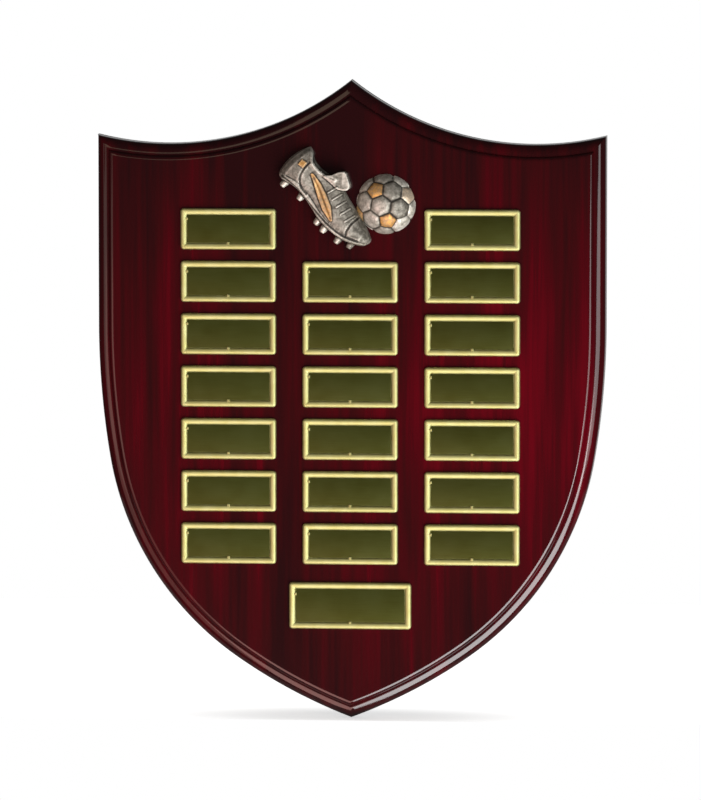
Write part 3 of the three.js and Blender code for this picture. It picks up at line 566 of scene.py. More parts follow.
for name, y in zip(("hanger_screw_upper", "hanger_screw_lower"), SCREW_PLACES):
    screw = make_mesh(name + "_fine", *skin(screw_rings(y)))
    screw.data.materials.append(zinc)
    bars = [(DRIVE_LENGTH, DRIVE_WIDTH), (DRIVE_WIDTH, DRIVE_LENGTH)]
    drive = [rounded_rectangle(*bar, DRIVE_WIDTH / 4, 3) + [0, y] for bar in bars]
    cut(screw, [block("drive", bar, -PAST, HEAD_SUNK + DRIVE_DEPTH, zinc) for bar in drive])
    smooth(screw)
    hand_over(screw, [name])

# %% [markdown]
# ## Framed plates
#
# A winner's plate comes as a set: a thin tray pressed from gold-plated steel with a rolled rim, and
# an engraving plate of brass that lies in it. Two small nibs, one at the bottom and one at the
# left, keep the plate from sliding out. The rim is a half-round outside and a longer slope inside, so
# it shows a thin line of light on its crest and a darker band towards the plate. Soft plating is not
# a mirror: a rough metal below and a thin clear coat over it give the pale, even yellow.

# %% Gold plating
# Thin gold over pressed steel: a pale, soft yellow with cloudy dull places and a glint from its lacquer
gold, *_ = mottled(
    "gold_plated_steel", size=6.25, detail=3.0, tones=("BBBA78", "C5C68C"), roughness=(0.54, 0.64),
    others={"Metallic": 1.0, "Coat Weight": 0.3, "Coat Roughness": 0.15})
print("nodes in the plating:", len(gold.node_tree.nodes))

# %% [markdown]
# The engraving plate is brushed along its length before it is lacquered. Brushing leaves scratches
# a few hundredths of a millimetre apart. That is too fine to see from across a room, so the lines
# here are drawn about a third of a millimetre wide, stretched sideways.

# %% Brushed brass
BRUSH_WIDTH, BRUSH_LENGTH = 0.3846, 16.67  # in mm; coarser than real brushing, which would not show
GROOVE_DEPTH = 0.03
HANDLING_SIZE, HANDLING_SHARE = 14.3, 0.45  # the hand leaves soft clouds over the lines

# Dark brass, brushed lengthwise: a quiet olive brown whose light is drawn out across the brushing
brass, tree, shader, place = new_material("brushed_brass")
brushing = (per_metre(BRUSH_LENGTH), 1.0, per_metre(BRUSH_WIDTH))  # nothing changes through the sheet
drawn_out = add_node(tree, "ShaderNodeMapping", {"Vector": place, "Scale": brushing})
lines = add_node(tree, "ShaderNodeTexNoise", {
    "Vector": drawn_out, "Scale": 1.0, "Detail": 3.0, "Roughness": 0.6})
cloud = add_node(tree, "ShaderNodeTexNoise", {
    "Vector": place, "Scale": per_metre(HANDLING_SIZE), "Detail": 2.0})
both = add_node(tree, "ShaderNodeMix", {0: HANDLING_SHARE, 2: lines, 3: cloud}, data_type="FLOAT")
brass_tone = add_node(tree, "ShaderNodeValToRGB", {"Fac": both}, stops=[
    (0.32, "43461C"), (0.5, "4A4E25"), (0.68, "50552D")])
scratch = add_node(tree, "ShaderNodeMapRange", {"Value": lines, "To Min": 0.42, "To Max": 0.58})
groove = add_node(tree, "ShaderNodeBump", {
    "Height": lines, "Strength": 0.3, "Distance": GROOVE_DEPTH * MM})
set_inputs(tree, shader, {
    "Base Color": brass_tone, "Roughness": scratch, "Metallic": 1.0, "Anisotropic": 0.6, "Normal": groove})
print("brushing lines to the metre:", round(brushing[2]))

# %% Sizes of trays and plates
TAPE = 0.3
ON_TAPE = BOARD_THICKNESS + TAPE
TRAY_WIDTH, TRAY_HEIGHT = 59.6, 25.6
TITLE_WIDTH, TITLE_HEIGHT = 76.5, 29.1
TRAY_CORNER, INNER_CORNER = 2, 0.4
TRAY_FLOOR = 0.5
RIM_ROLL, RIM_FALL, RIM_SIDE, RIM_RISE = 1.65, 2.3, 1, 1.3
RIM_WIDTH = RIM_ROLL + RIM_FALL
PLATE_THICKNESS, PLATE_CLEARANCE, PLATE_LIFT, PLATE_EASE = 0.5, 0.25, 0.3, 0.08
NIB_WIDTH, NIB_REACH, NIB_THICKNESS, NIB_ROOT, NIB_GAP = 1.7, 0.8, 0.5, 1, 0.2
SIDE_NIB_SHARE = 0.25
PLATE_LOW = ON_TAPE + TRAY_FLOOR + PLATE_LIFT
PLATE_TOP = PLATE_LOW + PLATE_THICKNESS


def stepped_form(width, height, corner, steps, corner_steps):
    """Points and faces of a rounded plate over (inset, height) steps; its corners shrink with the inset."""
    rings = []
    for inset, out in steps:
        round_corner = max(corner - inset, INNER_CORNER)
        outline = rounded_rectangle(width - 2 * inset, height - 2 * inset, round_corner, corner_steps)
        rings.append(at_height(outline, out))
    return skin(rings)


print("between the rims in mm:", [round(size - 2 * RIM_WIDTH, 2) for size in (TRAY_WIDTH, TRAY_HEIGHT)])

# %% One tray and one engraving plate
def nib(x, y, width, height):
    """A small tongue, bent over the edge of the engraving plate."""
    low = PLATE_TOP + NIB_GAP
    rounded = rounded_rectangle(width, height, NIB_THICKNESS / 2, 4) + [x, y]
    shoulder = rounded_rectangle(width - NIB_GAP, height - NIB_GAP, NIB_THICKNESS / 2, 4) + [x, y]
    top = low + NIB_THICKNESS
    return skin([at_height(rounded, low), at_height(rounded, top - NIB_GAP / 2), at_height(shoulder, top)])


def framed_tray(name, width, height):
    """A tray, from its back edge over the rolled rim down to its floor, with its two nibs."""
    steps = [(0, ON_TAPE)]
    for a in np.linspace(0, math.pi, 17):
        half = RIM_ROLL if math.cos(a) > 0 else RIM_FALL
        steps.append((RIM_ROLL - half * math.cos(a), ON_TAPE + RIM_SIDE + RIM_RISE * math.sin(a)))
    steps.append((RIM_WIDTH, ON_TAPE + TRAY_FLOOR))
    reach = NIB_ROOT + NIB_REACH
    from_edge = RIM_WIDTH - NIB_ROOT + reach / 2
    points, faces = [], []
    for part_points, part_faces in [
        stepped_form(width, height, TRAY_CORNER, steps, 6),
        nib(0, from_edge - height / 2, NIB_WIDTH, reach),
        nib(from_edge - width / 2, height * SIDE_NIB_SHARE, reach, NIB_WIDTH),
    ]:
        faces += [tuple(len(points) + i for i in face) for face in part_faces]
        points += part_points.tolist()
    piece = make_mesh(name, points, faces)
    smooth(piece, 40)
    return piece


def engraving_plate(name, width, height):
    """The flat plate that lies in a tray of that size, with its edge broken."""
    edge = RIM_WIDTH + PLATE_CLEARANCE
    steps = [(edge, PLATE_LOW), (edge, PLATE_TOP - PLATE_EASE),
             (edge + PLATE_EASE / 3, PLATE_TOP - PLATE_EASE / 3), (edge + PLATE_EASE, PLATE_TOP)]
    piece = make_mesh(name, *stepped_form(width, height, INNER_CORNER, steps, 4))
    smooth(piece, 20)
    return piece


print("the plate's top over the board in mm:", round(PLATE_TOP - BOARD_THICKNESS, 2))


# %% [markdown]
# ## Rows and columns with Geometry Nodes
#
# Twenty equal plates stand in seven rows and three columns, and the relief takes the middle place
# of the first row. Anything that repeats on a grid is best made once and laid out by rule: a grid
# gives the points, one point is removed, and the piece is instanced on the rest. At the end the
# instances are made real and get their material, because an exported model keeps only real meshes.

# %% The layout tree
rows_tree = bpy.data.node_groups.new("rows_of_pieces", "GeometryNodeTree")
rows_tree.interface.new_socket("Geometry", in_out="OUTPUT", socket_type="NodeSocketGeometry")
for kind, names in {
    "Object": ["Piece"], "Int": ["Columns", "Rows"],
    "Float": ["Width", "Height", "Middle", "Free Width", "Free Above"], "Material": ["Material"],
}.items():
    for name in names:
        rows_tree.interface.new_socket(name, in_out="INPUT", socket_type="NodeSocket" + kind)
given = add_node(rows_tree, "NodeGroupInput").outputs
grid = add_node(rows_tree, "GeometryNodeMeshGrid", {
    "Size X": given["Width"], "Size Y": given["Height"],
    "Vertices X": given["Columns"], "Vertices Y": given["Rows"]})
raised = add_node(rows_tree, "ShaderNodeCombineXYZ", {"Z": given["Middle"]})
standing = add_node(rows_tree, "GeometryNodeTransform", {
    "Geometry": grid, "Translation": raised, "Rotation": (math.pi / 2, 0, 0)})
print("grid inputs:", [item.name for item in rows_tree.interface.items_tree if item.in_out == "INPUT"])

# %% Leave out the relief's place, then put a piece on every point
position = add_node(rows_tree, "GeometryNodeInputPosition")
spot = add_node(rows_tree, "ShaderNodeSeparateXYZ", {0: position}).outputs
from_middle = add_node(rows_tree, "ShaderNodeMath", {0: spot["X"]}, operation="ABSOLUTE")
in_width = add_node(rows_tree, "FunctionNodeCompare", {
    0: from_middle, 1: given["Free Width"]}, operation="LESS_THAN")
above = add_node(rows_tree, "FunctionNodeCompare", {
    0: spot["Z"], 1: given["Free Above"]}, operation="GREATER_THAN")
free = add_node(rows_tree, "FunctionNodeBooleanMath", {0: in_width, 1: above})
kept = add_node(rows_tree, "GeometryNodeDeleteGeometry", {"Geometry": standing, "Selection": free})
piece_info = add_node(rows_tree, "GeometryNodeObjectInfo", {"Object": given["Piece"]})
laid = add_node(rows_tree, "GeometryNodeInstanceOnPoints", {
    "Points": kept, "Instance": piece_info.outputs["Geometry"]})
real = add_node(rows_tree, "GeometryNodeRealizeInstances", {"Geometry": laid})
dressed = add_node(rows_tree, "GeometryNodeSetMaterial", {"Geometry": real, "Material": given["Material"]})
add_node(rows_tree, "NodeGroupOutput", {"Geometry": dressed})
print("layout tree:", len(rows_tree.nodes), "nodes")


# %% Lay out trays and plates
COLUMN_PITCH, ROW_PITCH = 76.2, 32.8
FIRST_ROW = TOP - 92.92
COLUMNS, ROWS = 3, 7
TITLE_PLACE = -258.47
LAYOUT = {
    "Columns": COLUMNS, "Rows": ROWS,
    "Width": COLUMN_PITCH * (COLUMNS - 1) * MM, "Height": ROW_PITCH * (ROWS - 1) * MM,
    "Middle": (FIRST_ROW - ROW_PITCH * (ROWS - 1) / 2) * MM,
    "Free Width": COLUMN_PITCH / 2 * MM, "Free Above": (FIRST_ROW - ROW_PITCH / 2) * MM,
}


def in_rows(name, pattern, material):
    """Runs the tree on a new object, keeps the plain mesh and throws the pattern piece away."""
    piece = bpy.data.objects.new(name, bpy.data.meshes.new(name))
    scene.collection.objects.link(piece)
    modifier = piece.modifiers.new("nodes", "NODES")
    modifier.node_group = rows_tree
    values = {"Piece": pattern, "Material": material, **LAYOUT}
    for item in rows_tree.interface.items_tree:
        if item.in_out == "INPUT":
            modifier[item.identifier] = values[item.name]
    settle(piece)
    bpy.data.objects.remove(pattern)
    return piece


def numbered(stem):
    return [f"{stem}_{number:02d}" for number in range(1, COLUMNS * ROWS)]


for stem, maker, material, slot in [
    ("winner_frame", framed_tray, gold, "gold_rim"),
    ("winner_plate", engraving_plate, brass, "engraving_brass"),
]:
    pattern = maker(stem, TRAY_WIDTH, TRAY_HEIGHT)
    hand_over(in_rows(stem + "s", pattern, material), numbered(stem))

# %% Title tray and plate
def at_title(piece):
    """Moves a piece that was made at the hanging point down to the title's place."""
    piece.data.transform(Matrix.Translation((0, 0, TITLE_PLACE * MM)))
    return piece


for name, maker, material, slot in [
    ("title_frame", framed_tray, gold, "gold_rim"),
    ("title_plate", engraving_plate, brass, "engraving_brass"),
]:
    piece = at_title(maker(name + "_fine", TITLE_WIDTH, TITLE_HEIGHT))
    piece.data.materials.append(material)
    hand_over(piece, [name])

# %% [markdown]
# Every tray is stuck down with a pad of double-sided foam tape, a little smaller than the tray. It
# shows only as a dark line when the eye comes low from the side, but without it the tray would float.

# %% Tape pads
# Black foam tape: dull and fine-pored, so that it reads as a soft dark line
tape, *_ = mottled("foam_tape", size=0.333, detail=2.0, tones=("1A1A1A", "2C2C2C"), roughness=0.85)
TAPE_INSET, TAPE_CORNER = 2.2, 1


def tape_pad(name, width, height):
    outline = rounded_rectangle(width - 2 * TAPE_INSET, height - 2 * TAPE_INSET, TAPE_CORNER, 4)
    return block(name, outline, BOARD_THICKNESS, ON_TAPE, tape)


hand_over(in_rows("tape_pads", tape_pad("pad", TRAY_WIDTH, TRAY_HEIGHT), tape), [])
hand_over(at_title(tape_pad("title_tape_pad", TITLE_WIDTH, TITLE_HEIGHT)), [])

# %% [markdown]
# ## The relief
#
# The boot and ball are one small casting, 85 mm wide, in an antique silver finish. Such a casting is
# made from a soft master, so every edge is a little round and every seam is a shallow valley. The
# maker then floods it with dark wash and wipes it off, which leaves the valleys dark, and picks out a
# few places in gold.
#
# A good way to get that look is to work as the sculptor did: build the rough forms, melt them into
# one skin with a voxel remesh, and then press seams, laces and stitches into the skin. The same
# distances that shape the seams also say where the dark wash stays.

# %% Curves through chosen points
SHORTEST_STEP = 1e-4  # two points in one place count as this far apart


def spline(points, t):
    """A point at the share t of a smooth curve that goes through all the points."""
    points = np.asarray(points, float)
    last = len(points) - 1
    i = min(int(t * last), last - 1)
    w = t * last - i
    before = points[i - 1] if i > 0 else 2 * points[0] - points[1]
    after = points[i + 2] if i + 2 <= last else 2 * points[last] - points[last - 1]
    p = [before, points[i], points[i + 1], after]
    d = [max(np.linalg.norm(p[k + 1] - p[k]) ** 0.5, SHORTEST_STEP) for k in range(3)]
    m1 = ((p[1] - p[0]) / d[0] - (p[2] - p[0]) / (d[0] + d[1]) + (p[2] - p[1]) / d[1]) * d[1]
    m2 = ((p[2] - p[1]) / d[1] - (p[3] - p[1]) / (d[1] + d[2]) + (p[3] - p[2]) / d[2]) * d[1]
    rest = -3 * p[1] + 3 * p[2] - 2 * m1 - m2
    return p[1] + m1 * w + rest * w ** 2 + (2 * p[1] - 2 * p[2] + m1 + m2) * w ** 3


def curve(points, steps):
    return np.array([spline(points, t) for t in np.linspace(0, 1, steps + 1)])


print("the middle of a curve through three points:", spline([(0, 0), (1, 1), (2, 0)], 1 / 2).tolist())


# %% Sizes of the boot
BOOT_LENGTH = 73.4
BOOT_RELIEF = 12.2
BOOT_TILT = math.radians(-36.8)
HEEL_PLACE = np.array([-42.1, 8.38])
SOLE_WRAP, SOLE_EASE, SOLE_PROUD = 3.4, 0.7, 0.6
COLLAR_WALL, COLLAR_DEPTH = 1.5, 4.5
COLLAR_LEAN = math.radians(243)
HEEL_TAB_SHARE = 0.42
FAR_WALL = 0.28 * BOOT_RELIEF
TONGUE_HEIGHT = 0.88 * BOOT_RELIEF
STUD_LENGTH, STUD_ROOT, STUD_TIP = 4.4, 2.5, 1.8
STUD_ROUNDING, STUD_END_SHARE = 0.4, 0.8  # the tip is narrower over its last bit

# Each section from heel to toe: sole edge, top line, rise, bow, and how far the collar leaves it open
SECTION_SHARES = [
    (-0.062, 0.044, 0.014, 0.350, 0.16, 0.030, 0.0), (-0.044, 0.016, 0.024, 0.362, 0.60, 0.026, 0.0),
    (-0.004, 0.002, 0.056, 0.354, 0.88, 0.018, 0.5), (0.091, 0.014, 0.122, 0.298, 1.00, 0.004, 1.0),
    (0.180, 0.008, 0.203, 0.275, 0.97, 0.000, 1.0), (0.270, -0.018, 0.280, 0.272, 0.92, 0.000, 1.0),
    (0.345, -0.045, 0.350, 0.280, 0.92, 0.000, 0.7), (0.421, -0.074, 0.432, 0.262, 0.96, 0.000, 0.1),
    (0.536, -0.100, 0.538, 0.214, 1.00, 0.000, 0.0), (0.640, -0.107, 0.640, 0.174, 0.98, 0.000, 0.0),
    (0.740, -0.098, 0.736, 0.137, 0.90, 0.000, 0.0), (0.833, -0.069, 0.822, 0.099, 0.74, -0.004, 0.0),
    (0.893, -0.034, 0.880, 0.064, 0.50, -0.006, 0.0), (0.913, -0.002, 0.909, 0.044, 0.18, -0.006, 0.0),
]
# Across a section: the place, the height of the closed upper, and the height where the collar is open
ARCH_SHARES = [
    (0.03, 0.00, 0.00), (0.03, 0.50, 0.50), (0.06, 0.72, 0.72), (0.14, 0.89, 0.88), (0.29, 0.985, 0.97),
    (0.46, 1.00, 0.98), (0.63, 0.94, 0.94), (0.79, 0.79, 0.90), (0.91, 0.54, 0.87), (0.98, 0.27, 0.85),
    (1.00, 0.00, 0.83),
]
STUD_SHARES = [
    (0.030, -0.050, 0.62), (0.215, -0.055, 0.72), (0.452, -0.140, 0.48),
    (0.535, -0.158, 0.70), (0.685, -0.160, 0.66), (0.795, -0.132, 0.42),
]
TONGUE_SHARES = [
    (0.262, 0.238), (0.311, 0.276), (0.346, 0.338), (0.384, 0.376), (0.408, 0.374), (0.490, 0.314),
    (0.504, 0.292), (0.500, 0.262), (0.464, 0.235), (0.430, 0.220),
]
FOLD_SHARES = [
    (0.372, 0.366), (0.384, 0.376), (0.408, 0.374), (0.490, 0.314), (0.504, 0.292), (0.500, 0.262),
    (0.448, 0.262),
]
COLLAR_SHARES = [
    (0.070, 0.385), (0.088, 0.326), (0.115, 0.286), (0.150, 0.266), (0.205, 0.253), (0.270, 0.253),
    (0.360, 0.270),
]
print("boot:", BOOT_LENGTH, "mm long, with", len(SECTION_SHARES), "sections and", len(STUD_SHARES), "studs")


# %% Sections of the boot
SECTION_STEPS = 90
PER_MM = 1 / MM
BACK_TO_PLANE = Matrix(((PER_MM, 0, 0, 0), (0, 0, PER_MM, 0), (0, -PER_MM, 0, 0), (0, 0, 0, 1)))


def boot_sections():
    """Sections of the boot, smoothed between the chosen ones."""
    table = np.array(SECTION_SHARES)
    found = []
    for t in np.linspace(0, 1, SECTION_STEPS + 1):
        sole = spline(table[:, 0:2], t) * BOOT_LENGTH
        top = spline(table[:, 2:4], t) * BOOT_LENGTH
        place = t * (len(table) - 1)
        rise, bow, opened = [np.interp(place, range(len(table)), table[:, column]) for column in (4, 5, 6)]
        across = top - sole
        back = np.array([-across[1], across[0]]) / np.linalg.norm(across)
        found.append((sole, across, back, rise * BOOT_RELIEF, bow * BOOT_LENGTH, opened))
    return found


def loose(name, points, faces):
    """A rough form in the boot's own plane, in mm: along the boot, up from its sole, out of the board."""
    piece = make_mesh(name, points, faces)
    piece.data.transform(BACK_TO_PLANE)
    return piece


print("sections from heel to toe:", len(boot_sections()))


# %% Upper, sole and studs
def upper_form():
    """The closed upper, as arches over the sections."""
    fine = curve(ARCH_SHARES, 40)
    rings = []
    for sole, across, back, rise, bow, opened in boot_sections():
        share, height = fine[:, 0], fine[:, 1] + opened * (fine[:, 2] - fine[:, 1])
        flat = sole + share[:, None] * across + (4 * bow * share * (1 - share))[:, None] * back
        ring = np.column_stack([flat, np.maximum(height, 0) * rise])
        foot = ring[[-1, 0]] * [1, 1, 0] - [0, 0, PAST]
        rings.append(np.concatenate([ring, foot]))
    return loose("upper", *skin(rings))


def sole_form():
    """The sole, which wraps a little way up the upper and stands proud of it."""
    rings = []
    for sole, across, _, rise, *_ in boot_sections():
        length = np.linalg.norm(across)
        tall = min(SOLE_WRAP, length / 2)
        low, high = ARCH_SHARES[1][1] * rise, ARCH_SHARES[3][1] * rise
        steps = [(0, -PAST), (0, low), (SOLE_EASE, high), (2 * SOLE_EASE, high + SOLE_PROUD),
                 (tall, high + SOLE_PROUD), (tall, -PAST)]
        rings.append(np.array([(*(sole + across / length * climb), out) for climb, out in steps]))
    return loose("sole", *skin(rings))


def stud_form(along, up, out):
    """A tapered stud with a rounded tip, standing square to the sole."""
    tip = np.array([along, up]) * BOOT_LENGTH
    sole, across, *_ = min(boot_sections(), key=lambda one: abs(one[0][0] - tip[0]))
    axis = across / np.linalg.norm(across)
    side = np.array([axis[1], -axis[0]])
    profile = [(0, STUD_END_SHARE * STUD_TIP), (STUD_ROUNDING, STUD_TIP), (STUD_LENGTH, STUD_ROOT)]
    rings = []
    for climb, radius in profile:
        ring = circle((0, out * BOOT_RELIEF - STUD_ROOT), radius, 28)
        rings.append(np.column_stack([tip + climb * axis + ring[:, :1] * side, ring[:, 1]]))
    return loose("stud", *skin(rings))


upper, sole = upper_form(), sole_form()
studs = [stud_form(*stud) for stud in STUD_SHARES]
print("rough faces of the upper and the sole:", len(upper.data.polygons), len(sole.data.polygons))

# %% Tongue, and what opens the collar
def slab(name, outline, low, high):
    """A straight-sided form over a closed outline; the melting rounds its edges."""
    return loose(name, *skin([at_height(outline, low), at_height(outline, high)]))


def past_collar():
    """The line of the collar, and the outline of the room that lies past it."""
    line = curve(np.array(COLLAR_SHARES) * BOOT_LENGTH, 40)
    beyond = line[::-1] + [BOOT_LENGTH / 4, BOOT_LENGTH / 2]
    return line, np.concatenate([line, beyond])


tongue = slab("tongue", np.array(TONGUE_SHARES) * BOOT_LENGTH, -PAST, TONGUE_HEIGHT)
collar_line, collar_room = past_collar()
lean = np.array([math.cos(COLLAR_LEAN), math.sin(COLLAR_LEAN)]) * COLLAR_DEPTH
ankle = collar_line[round(len(collar_line) * HEEL_TAB_SHARE):]
near_wall = ARCH_SHARES[-1][2] * BOOT_RELIEF - COLLAR_WALL
cut(upper, [
    slab("past", collar_room, FAR_WALL, 2 * BOOT_RELIEF),
    slab("slot", np.concatenate([ankle, (ankle + lean)[::-1]]), FAR_WALL, near_wall),
])
print("the slot under the near wall is", round(near_wall - FAR_WALL, 1), "mm wide")


# %% Melt the forms into one skin
CASTING_VOXEL = 0.3


def melt(pieces, voxel):
    """Joins rough forms, remeshes them as one skin and relaxes it."""
    work = bmesh.new()
    for piece in pieces:
        work.from_mesh(piece.data)
    melted = pieces[0]
    work.to_mesh(melted.data)
    work.free()
    for piece in pieces[1:]:
        bpy.data.objects.remove(piece)
    remesh = melted.modifiers.new("melt", "REMESH")
    remesh.mode = "VOXEL"
    remesh.voxel_size = voxel
    relax = melted.modifiers.new("relax", "SMOOTH")
    relax.factor, relax.iterations = 0.5, 3
    settle(melted)
    return melted


boot = melt([upper, sole, tongue, *studs], CASTING_VOXEL)
boot.name = "cast_boot"
print("boot skin:", len(boot.data.vertices), "points")


# %% Distances that shape the seams
def to_line(points, line):
    """For each flat point, its distance to a line of points and how far along the line that is."""
    start, run = line[:-1], np.diff(line, axis=0)
    length = np.linalg.norm(run, axis=1)
    before = np.concatenate([[0], np.cumsum(length)[:-1]])
    offset = points[:, None, :] - start
    share = np.clip((offset * run).sum(2) / length ** 2, 0, 1)
    gap = np.linalg.norm(offset - share[:, :, None] * run, axis=2)
    nearest = gap.argmin(1)
    rows = np.arange(len(points))
    return gap[rows, nearest], before[nearest] + share[rows, nearest] * length[nearest]


def inside(points, outline):
    """True for each flat point that lies inside a closed outline."""
    x, y = points.T
    found = np.zeros(len(points), bool)
    for (x0, y0), (x1, y1) in zip(outline, np.roll(outline, -1, axis=0)):
        if y0 != y1:
            crosses = ((y0 > y) != (y1 > y)) & (x < (x1 - x0) * (y - y0) / (y1 - y0) + x0)
            found ^= crosses
    return found


def soft_step(value, start, end):
    """0 before start, 1 after end, and a smooth slope between them."""
    t = np.clip((value - start) / (end - start), 0, 1)
    return t * t * (3 - 2 * t)


def near(gap, width):
    """1 on a line, and falling softly to 0 beside it."""
    return np.exp(-(gap / width) ** 2)


print("one width beside a line a groove keeps", round(near(1, 1), 2), "of its depth")


# %% Seams, band and laces
BAND_SHARES = [(0.184, 0.194), (0.262, 0.156), (0.366, 0.094), (0.462, 0.034), (0.540, -0.018)]
BAND_SWELL_SHARES = [0.25, 0.72, 0.95, 1.00, 0.25]
BAND_WIDTH, BAND_GROOVE, BAND_PROUD, BAND_GILT = 5.4, 0.7, 0.6, 0.8
LACE_LINE_SHARES = [(0.400, 0.192), (0.660, 0.082)]
LACE_COUNT, LACE_LENGTH, LACE_WIDTH, LACE_PROUD = 5, 6.4, 1.4, 0.4
PATCH_SHARE, PATCH_SIZE, PATCH_PROUD = (0.062, 0.219), 4.2, 0.5
COLLAR_ROLL, COLLAR_PROUD = 1.3, 0.5
SEAM_WIDTH, SEAM_DEPTH, SEAM_WASH = 0.7, 0.36, 0.6
STITCH_PITCH, STITCH_OFFSET, STITCH_WIDTH, STITCH_PROUD = 1.5, 0.95, 0.28, 0.14
EDGE_SOFTNESS = 0.45  # over this width a raised patch or band slopes down
FACING = (0.1, 0.5)  # details fade out where the skin turns away from the front by these cosines
WASH_LEFT = 0.3  # on the open surface; crests are wiped clean and valleys keep it all
# painted shade: how much darker the boot is made towards the toe, over this stretch of its length
TOE_PAINTED_SHADE, TOE_SHADE = 0.32, (0.6 * BOOT_LENGTH, 0.8 * BOOT_LENGTH)
OUTLINE_WIDTH = 0.4  # of the dark line that the wash leaves round a raised band
SEAM_SHARES = {
    "heel counter": [(0.105, 0.262), (0.098, 0.190), (0.112, 0.120), (0.160, 0.060), (0.240, 0.034)],
    "toe cap": [(0.716, 0.134), (0.700, 0.060), (0.705, -0.020), (0.722, -0.062)],
    "welt": [(-0.020, 0.030), (0.100, 0.026), (0.225, -0.002), (0.337, -0.026), (0.450, -0.050),
             (0.570, -0.067), (0.698, -0.067), (0.830, -0.034)],
}
print("seams:", list(SEAM_SHARES), "and", LACE_COUNT, "laces")


# %% Seams, the double band and laces
def press_seams(flat):
    """How far the seams and their stitches move each point, and how dark they leave it."""
    lift, dark = np.zeros(len(flat)), np.zeros(len(flat))
    for shares in SEAM_SHARES.values():
        gap, along = to_line(flat, curve(np.array(shares) * BOOT_LENGTH, 30))
        stitch = near(gap - STITCH_OFFSET, STITCH_WIDTH) * np.sin(2 * math.pi * along / STITCH_PITCH)
        lift += STITCH_PROUD * np.clip(stitch, 0, 1) - SEAM_DEPTH * near(gap, SEAM_WIDTH)
        dark = np.maximum(dark, SEAM_WASH * near(gap, SEAM_WIDTH))
    return lift, dark


def press_band(flat):
    """The raised double band on the side of the boot: lift, darkness and gilding of each point."""
    middle, travelled = to_line(flat, curve(np.array(BAND_SHARES) * BOOT_LENGTH, 40))
    places = np.linspace(0, travelled.max(), len(BAND_SWELL_SHARES))
    half = np.interp(travelled, places, BAND_SWELL_SHARES) * BAND_WIDTH / 2
    reach = half + BAND_GROOVE / 2 - middle
    band = soft_step(reach, -EDGE_SOFTNESS / 3, EDGE_SOFTNESS)
    lift = BAND_PROUD * band - BAND_PROUD / 2 * near(middle, BAND_GROOVE) * band
    dark = SEAM_WASH * np.maximum(near(reach, OUTLINE_WIDTH), near(middle, OUTLINE_WIDTH) * band / 2)
    return lift, dark, BAND_GILT * band


def press_laces(flat):
    """Short round laces across the tongue: lift and darkness of each point."""
    lift, dark = np.zeros(len(flat)), np.zeros(len(flat))
    first, last = np.array(LACE_LINE_SHARES) * BOOT_LENGTH
    run = (last - first) / np.linalg.norm(last - first)
    side = np.array([-run[1], run[0]]) * LACE_LENGTH / 2
    for share in np.linspace(0, 1, LACE_COUNT):
        centre = first + (last - first) * share
        gap, _ = to_line(flat, np.array([centre - side, centre + side]))
        lift += LACE_PROUD * np.sqrt(np.clip(1 - (gap / (LACE_WIDTH / 2)) ** 2, 0, 1))
        dark = np.maximum(dark, near(gap - LACE_WIDTH / 2, OUTLINE_WIDTH) / 3)
    return lift, dark


on_laces = press_laces(np.array(LACE_LINE_SHARES) * BOOT_LENGTH)[0]
print("lift on the first and the last lace in mm:", on_laces.round(2).tolist())

# %% Press the details into the skin
def vertex_values(mesh, name):
    values = np.zeros(len(mesh.vertices) * 3)
    mesh.vertices.foreach_get(name, values)
    return values.reshape(-1, 3)


def keep_above_board(mesh):
    """Cuts away what lies below the board's face and closes the cut."""
    work = bmesh.new()
    work.from_mesh(mesh)
    geometry = work.verts[:] + work.edges[:] + work.faces[:]
    made = bmesh.ops.bisect_plane(
        work, geom=geometry, plane_co=(0, 0, 0), plane_no=(0, 0, -1), clear_outer=True)
    rim = [part for part in made["geom_cut"] if isinstance(part, bmesh.types.BMEdge)]
    bmesh.ops.contextual_create(work, geom=rim)
    bmesh.ops.recalc_face_normals(work, faces=work.faces)
    work.to_mesh(mesh)
    work.free()


keep_above_board(boot.data)
points, normals = vertex_values(boot.data, "co"), vertex_values(boot.data, "normal")
flat = points[:, :2]
facing = soft_step(normals[:, 2], *FACING)
seam_lift, seam_dark = press_seams(flat)
band_lift, band_dark, band = press_band(flat)
lace_lift, lace_dark = press_laces(flat)
square = np.abs(flat - np.array(PATCH_SHARE) * BOOT_LENGTH).max(1) - PATCH_SIZE / 2
patch = soft_step(-square, -EDGE_SOFTNESS / 2, EDGE_SOFTNESS)
roll = near(to_line(flat, collar_line)[0] - COLLAR_ROLL / 2, COLLAR_ROLL)
lift = seam_lift + band_lift + lace_lift + PATCH_PROUD * patch + COLLAR_PROUD * roll
within = inside(flat, collar_room) & (points[:, 2] < BOOT_RELIEF / 2)
# the front of the folded tongue is made lighter
fold_front = inside(flat, np.array(FOLD_SHARES) * BOOT_LENGTH) & (normals[:, 2] > 0)
dark = np.maximum.reduce([seam_dark, band_dark, lace_dark]) * facing
# painted shade darkens the boot towards the toe
dark = np.maximum(dark, within) - WASH_LEFT * fold_front + TOE_PAINTED_SHADE * soft_step(flat[:, 0], *TOE_SHADE)
gilt = np.maximum(band, patch) * facing
boot.data.vertices.foreach_set("co", (points + normals * (lift * facing)[:, None]).ravel())
boot.data.update()
print("lift from", lift.min().round(2), "to", lift.max().round(2), "mm")


# %% Valleys that keep the wash
HOLLOW_ROUNDS = 12
VALLEY_DEPTHS = (0.02, 0.18)  # in mm below the average around: from the first wash stays, at the last all
CREST_HEIGHTS = (0.005, 0.09)  # in mm above it: from the first the cloth wipes, at the last down to metal


